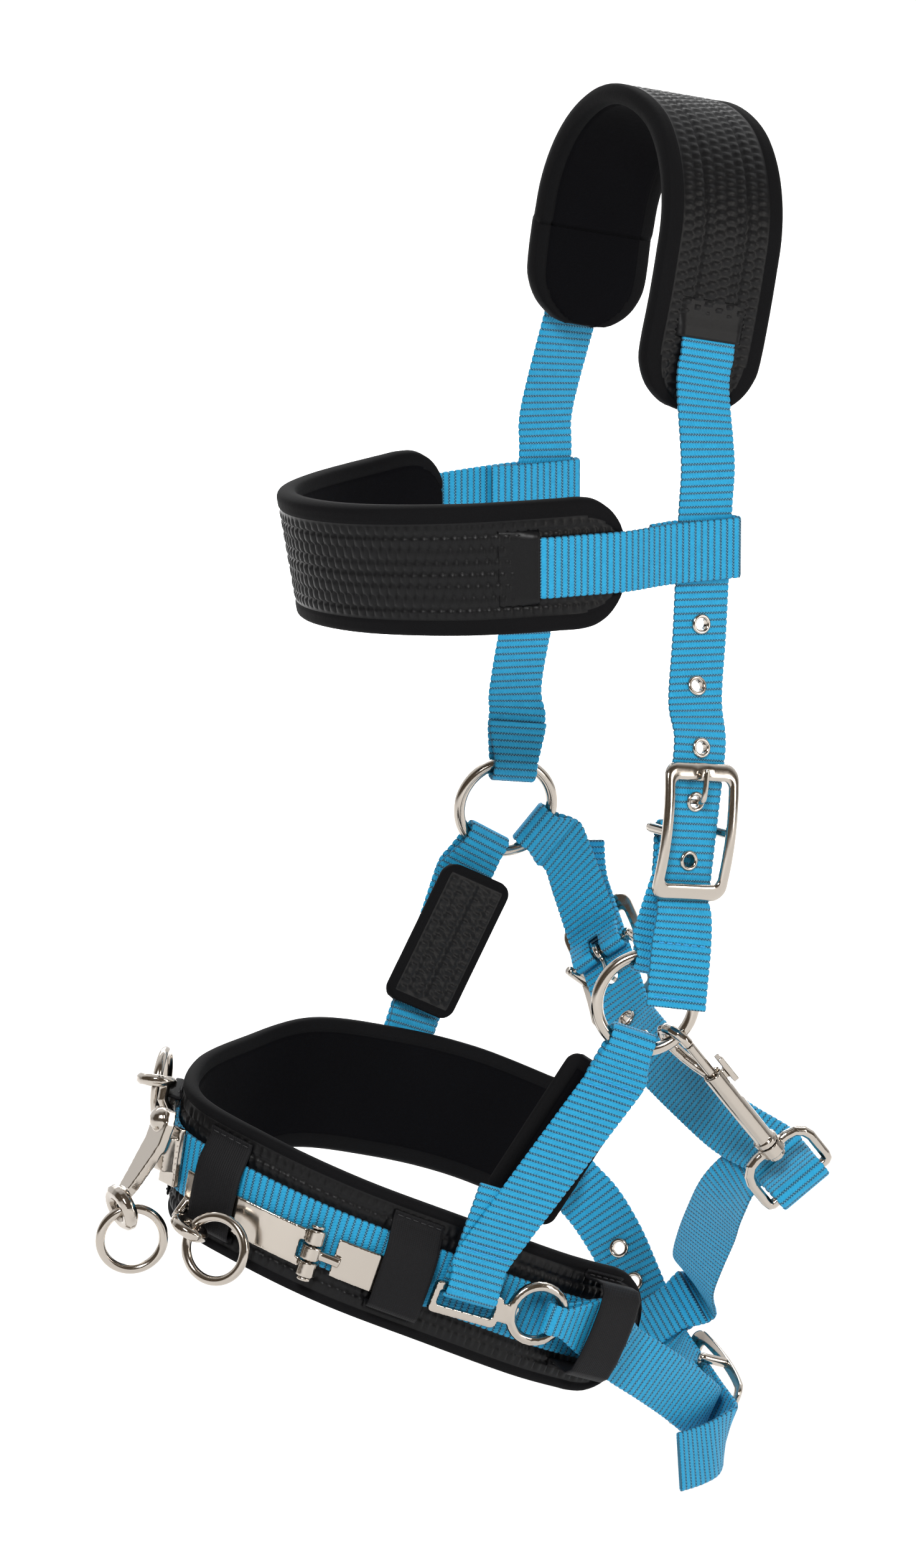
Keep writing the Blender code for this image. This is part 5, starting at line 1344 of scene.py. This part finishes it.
def build_throat(body, d_bar):
    """The throat strap: a short end on the far ring with a buckle, a long end on the snap."""
    buckle("throat_buckle", basis(THROAT_BAR, THROAT_RUN, THROAT_OUT), body, "throat_tongue")
    ring_bar, ring_away = on_ring(FAR_RING, FAR_RING_N, -35.0)
    like = THROAT_SIDE
    top = looped_end(THROAT_BAR, -THROAT_RUN, THROAT_OUT, like, BAR_R + GAP + WEB_T / 2, tail=9.0,
                     lead=8.0)
    top.append((THROAT_BAR - THROAT_RUN * 14 + THROAT_OUT * LAYER / 2, top[-1][1], WEB_W))
    towards = (THROAT_BAR - THROAT_RUN * 14 - ring_bar)
    ring_side = square_to(like, ring_away)
    low_away = square_to(ring_away + towards.normalized() * 0.4, ring_side)
    low = looped_end(ring_bar, low_away, FAR_RING_N, like, RING_WIRE + 0.4 + WEB_T / 2, depth=3.8,
                     pinch=PINCH_W, tail=9.0, lead=8.0)
    low.append((low[-1][0] + low_away * 5, low[-1][1], WEB_W))
    strip("throat_buckle_strap", folded(top, low), body, slots=((1, len(top) - 2),))
    # the long strap
    run, out = THROAT_RUN, THROAT_OUT
    tail = [Vector((7, 96, -322)), Vector((8.5, 97.5, -333)), Vector((10.5, 97.5, -343))]
    inside = [THROAT_BAR + out * STRAP_LEVEL + run * x for x in (-32, -18, 0, 18, 34)]
    points = tail + inside + [Vector((0.5, 27, -392)), Vector((0, 8, -398)), Vector((0, -20, -406)),
                              Vector((1.5, -48, -414))]
    away = square_to(THROAT_END, D_AXIS)
    end = looped_end(d_bar, away, square_to(-SNAP_AXIS, away), D_AXIS, D_WIRE + 1.4 + WEB_T / 2,
                     tail=22.0, pinch=24.0)
    points += [end[-1][0] + away * 8, end[-1][0]]
    hints = [like] * (len(points) - 2) + [D_AXIS, D_AXIS]
    line = smooth(ribbon(points, hints), 3)
    strap = strip("throat_strap", line + end[::-1][1:], body)
    for number, index in enumerate((21, 24), 1):
        centre, normal = on_strap(line, index, 0.4)
        eyelet(f"throat_eyelet_{number}", strap, centre, normal, body)
    punch(strap, THROAT_BAR + run * TONGUE_HOLE + out * STRAP_LEVEL, out)
    return line


def build_connector(body, chin_line, d_bar):
    """The short double strap that ties the throat strap to the chin strap."""
    index = 19
    chin_at, chin_normal = on_strap(chin_line, index, 0.0)
    ahead = (chin_line[index + 1][0] - chin_line[index][0]).normalized()
    width = square_to(chin_line[index][1], ahead)
    if chin_normal.x < 0:
        chin_normal = -chin_normal
    edge = chin_at + width * 12.8
    start = looped_end(edge, width, chin_normal, ahead, 4.4, depth=25.8, tail=10.0, pinch=20.0,
                       lead=8.0)
    first = start[-1][0]
    away = square_to(THROAT_END, D_AXIS)
    under = away.cross(D_AXIS)
    sewn = d_bar + away * 28 + under * 5.2
    points = [first, first + width * 5, Vector((12.9, 3.0, -491.0)), Vector((6.8, -13.0, -476.3)),
              Vector((1.9, -31.0, -459.8)), Vector((-2.5, -48.0, -444.3))]
    points += [sewn - D_AXIS * 14, sewn, sewn + D_AXIS * 7]
    hints = [start[-1][1], start[-1][1], Vector((.30, -.80, -.50)), Vector((.36, -.88, -.30)),
             Vector((.38, -.90, -.18)), Vector((.30, -.92, -.25)), -away, -away, -away]
    line = smooth(ribbon(points, hints), 3)
    strip("connector_strap", start[:-1] + line, body)


def cast(node_name, voxel=0.45, rounds=3):
    """A CAD casting with its edges rounded, in polished nickel."""
    piece = frame["nodes"][node_name]
    remesh = piece.modifiers.new("even", "REMESH")
    remesh.mode = "VOXEL"
    remesh.voxel_size = voxel * MM
    remesh.use_smooth_shade = True
    soften = piece.modifiers.new("soften", "SMOOTH")
    soften.factor = 0.5
    soften.iterations = rounds
    for slot_at in piece.material_slots:
        slot_at.material = NICKEL


def build_castings():
    for name, voxel, rounds in (
            ("centre_bracket", 0.4, 4), ("near_iron_plate", 0.45, 3), ("far_iron_plate", 0.45, 3),
            ("near_iron_end_plate", 0.45, 3), ("far_iron_end_plate", 0.45, 3),
            ("near_iron_pin", 0.35, 2), ("far_iron_pin", 0.35, 2),
            ("near_side_fitting", 0.45, 3), ("far_side_fitting", 0.45, 3),
            ("snap_body", 0.4, 3), ("snap_bolt", 0.35, 2), ("snap_swivel_loop", 0.4, 3)):
        cast(name, voxel, rounds)


def fitting_place(band, s, h):
    """The slotted plate's slot, its ring's centre and its directions."""
    _, away, height, out = band.axes(s)
    slot_at = band.point(s, h, FITTING_LEVEL)
    return slot_at, slot_at + away * 31.6 + height * 4.0, away, height, out


def d_bar_place():
    """The middle of the snap's D loop bar, where the throat strap goes round it."""
    wire_at, _ = on_ring(NEAR_RING, NEAR_RING_N, -51.0)
    in_view = D_AXIS
    facing = SNAP_AXIS.cross(in_view)
    turn = math.radians(70)
    across = in_view * math.cos(turn) + facing * math.sin(turn)
    snap = basis(wire_at, SNAP_AXIS, SNAP_AXIS.cross(across))
    return snap @ Vector((87.0, 7.0, 0.0))


def build_nose_rings(band):
    """The three rings of the nose iron, hanging in their eyes."""
    near_hang, near_flat = unit(0.456, -0.75, -0.49), unit(-0.785, -0.59, 0.18)
    near_at = band.point(*NEAR_EYE) + near_hang * (NOSE_RING_R + 1.1)
    torus("near_nose_ring", near_at, near_flat, NOSE_RING_R, NOSE_WIRE)
    _, ahead, tall, outward = band.axes(34.0)
    far_hang = (ahead * 0.96 - tall * 0.1 + outward * 0.1).normalized()
    far_at = band.point(*FAR_EYE) + far_hang * (NOSE_RING_R + 1.1)
    torus("far_nose_ring", far_at, square_to(outward, far_hang), NOSE_RING_R,
          NOSE_WIRE)
    hang = unit(0.31, 0.0, -0.95)
    centre_at = CENTRE_EYE + hang * (NOSE_RING_R + 1.4)
    torus("centre_nose_ring", centre_at, square_to(Vector((-0.35, -0.93, 0.1)), hang),
          NOSE_RING_R, NOSE_WIRE)


NEAR_EYE, FAR_EYE = (-23.0, -17.5, 14.8), (16.0, 24.0, 10.0)
CENTRE_EYE = Vector((-254.0, 0.0, -428.5))


def area_light(name, place, target, size, power, colour=(1, 1, 1)):
    data = bpy.data.lights.new(name, "AREA")
    data.shape = "RECTANGLE"
    data.size, data.size_y = size
    data.energy = power
    data.color = colour
    made = bpy.data.objects.new(name, data)
    bpy.context.scene.collection.objects.link(made)
    made.location = place
    made.rotation_euler = (Vector(target) - Vector(place)).to_track_quat("-Z", "Y").to_euler()


def build_stage():
    """A pale floor, soft studio light, and the camera."""
    lowest = min(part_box(name)[0][2] for name in frame["nodes"])
    floor_mesh = mesh_from("floor", [Vector((x, y, lowest * 1000 - 60)) for x, y in
                                     ((-9000, -9000), (9000, -9000), (9000, 9000), (-9000, 9000))],
                           [(0, 1, 2, 3)])
    finish, _, shader = new_material("floor", (0.93, 0.93, 0.93), 0.9)
    shader.inputs["Specular IOR Level"].default_value = 0.1
    floor_mesh.materials.append(finish)
    floor = bpy.data.objects.new("floor", floor_mesh)
    bpy.context.scene.collection.objects.link(floor)

    world = bpy.data.worlds.new("studio")
    bpy.context.scene.world = world
    world.use_nodes = True
    tree = world.node_tree
    background = tree.nodes["Background"]
    background.inputs["Strength"].default_value = 0.95
    # A studio: white behind the object and above, a dark room where the camera stands.
    way = node(tree, "ShaderNodeTexCoord")
    across = node(tree, "ShaderNodeSeparateXYZ")
    link(tree, way.outputs["Generated"], across.inputs[0])
    facing = 0.0
    for axis, share in (("X", 0.47), ("Y", 0.88), ("Z", 0.35)):
        facing = maths(tree, "MULTIPLY_ADD", across.outputs[axis], share, facing)
    ramp = node(tree, "ShaderNodeValToRGB")
    dark, light = ramp.color_ramp.elements
    dark.color, light.color = (0.12, 0.095, 0.07, 1.0), (1.0, 1.0, 1.0, 1.0)
    shade = maths(tree, "MULTIPLY_ADD", facing, 0.5, 0.5)
    link(tree, shade, ramp.inputs["Fac"])
    dark.position, light.position = 0.50, 0.74
    link(tree, ramp.outputs["Color"], background.inputs["Color"])

    bpy.context.scene.view_settings.view_transform = "Standard"
    middle = (-0.1, 0.0, -0.27)
    area_light("key", (-1.6, -2.2, 1.6), middle, (0.8, 0.8), 80)
    area_light("fill", (1.6, -2.6, 0.3), middle, (0.5, 1.6), 22, (1.0, 0.97, 0.93))
    area_light("back", (0.8, 2.4, 1.4), middle, (1.6, 1.6), 24)
    # lights the floor and the backdrop behind the object to near white
    area_light("backdrop", (0.9, 1.6, 1.8), (2.0, 3.6, -0.64), (3.0, 1.5), 190)

    camera = bpy.data.cameras.new("camera")
    camera.sensor_fit = "HORIZONTAL"
    camera.sensor_width = 36.0
    camera.lens = 386.4
    made = bpy.data.objects.new("camera", camera)
    bpy.context.scene.collection.objects.link(made)
    place, aim = Vector((-1.9415, -3.4632, 0.5647)), Vector((-0.1047, -0.0086, -0.2669))
    made.location = place
    made.rotation_euler = (aim - place).to_track_quat("-Z", "Y").to_euler()
    bpy.context.scene.camera = made


def main():
    build_castings()
    run, outs = build_crown("crown")
    crown_strap, crown_line = build_crown_strap("crown", run, outs)
    build_crown_fittings("crown", "crown_tongue", crown_strap, crown_line)
    build_browband("browband")
    torus("near_ring", NEAR_RING, NEAR_RING_N, RING_R, RING_WIRE)
    torus("far_ring", FAR_RING, FAR_RING_N, RING_R, RING_WIRE)
    band = Band()
    build_noseband("lower", band)
    for name, s, half, crosses in KEEPERS:
        build_keeper(name, band, s, half, crosses, "lower")
    near_fitting = fitting_place(band, -136.0, -4.0)
    far_fitting = fitting_place(band, 163.0, 1.0)
    build_cheek("near", NEAR_RING, NEAR_RING_N, -110.0, near_fitting, "lower")
    build_cheek("far", FAR_RING, FAR_RING_N, -118.0, far_fitting, "lower")
    chin_line = build_chin(near_fitting, far_fitting, "lower")
    build_throat("lower", d_bar_place())
    build_connector("lower", chin_line, d_bar_place())
    build_nose_rings(band)
    build_stage()


main()
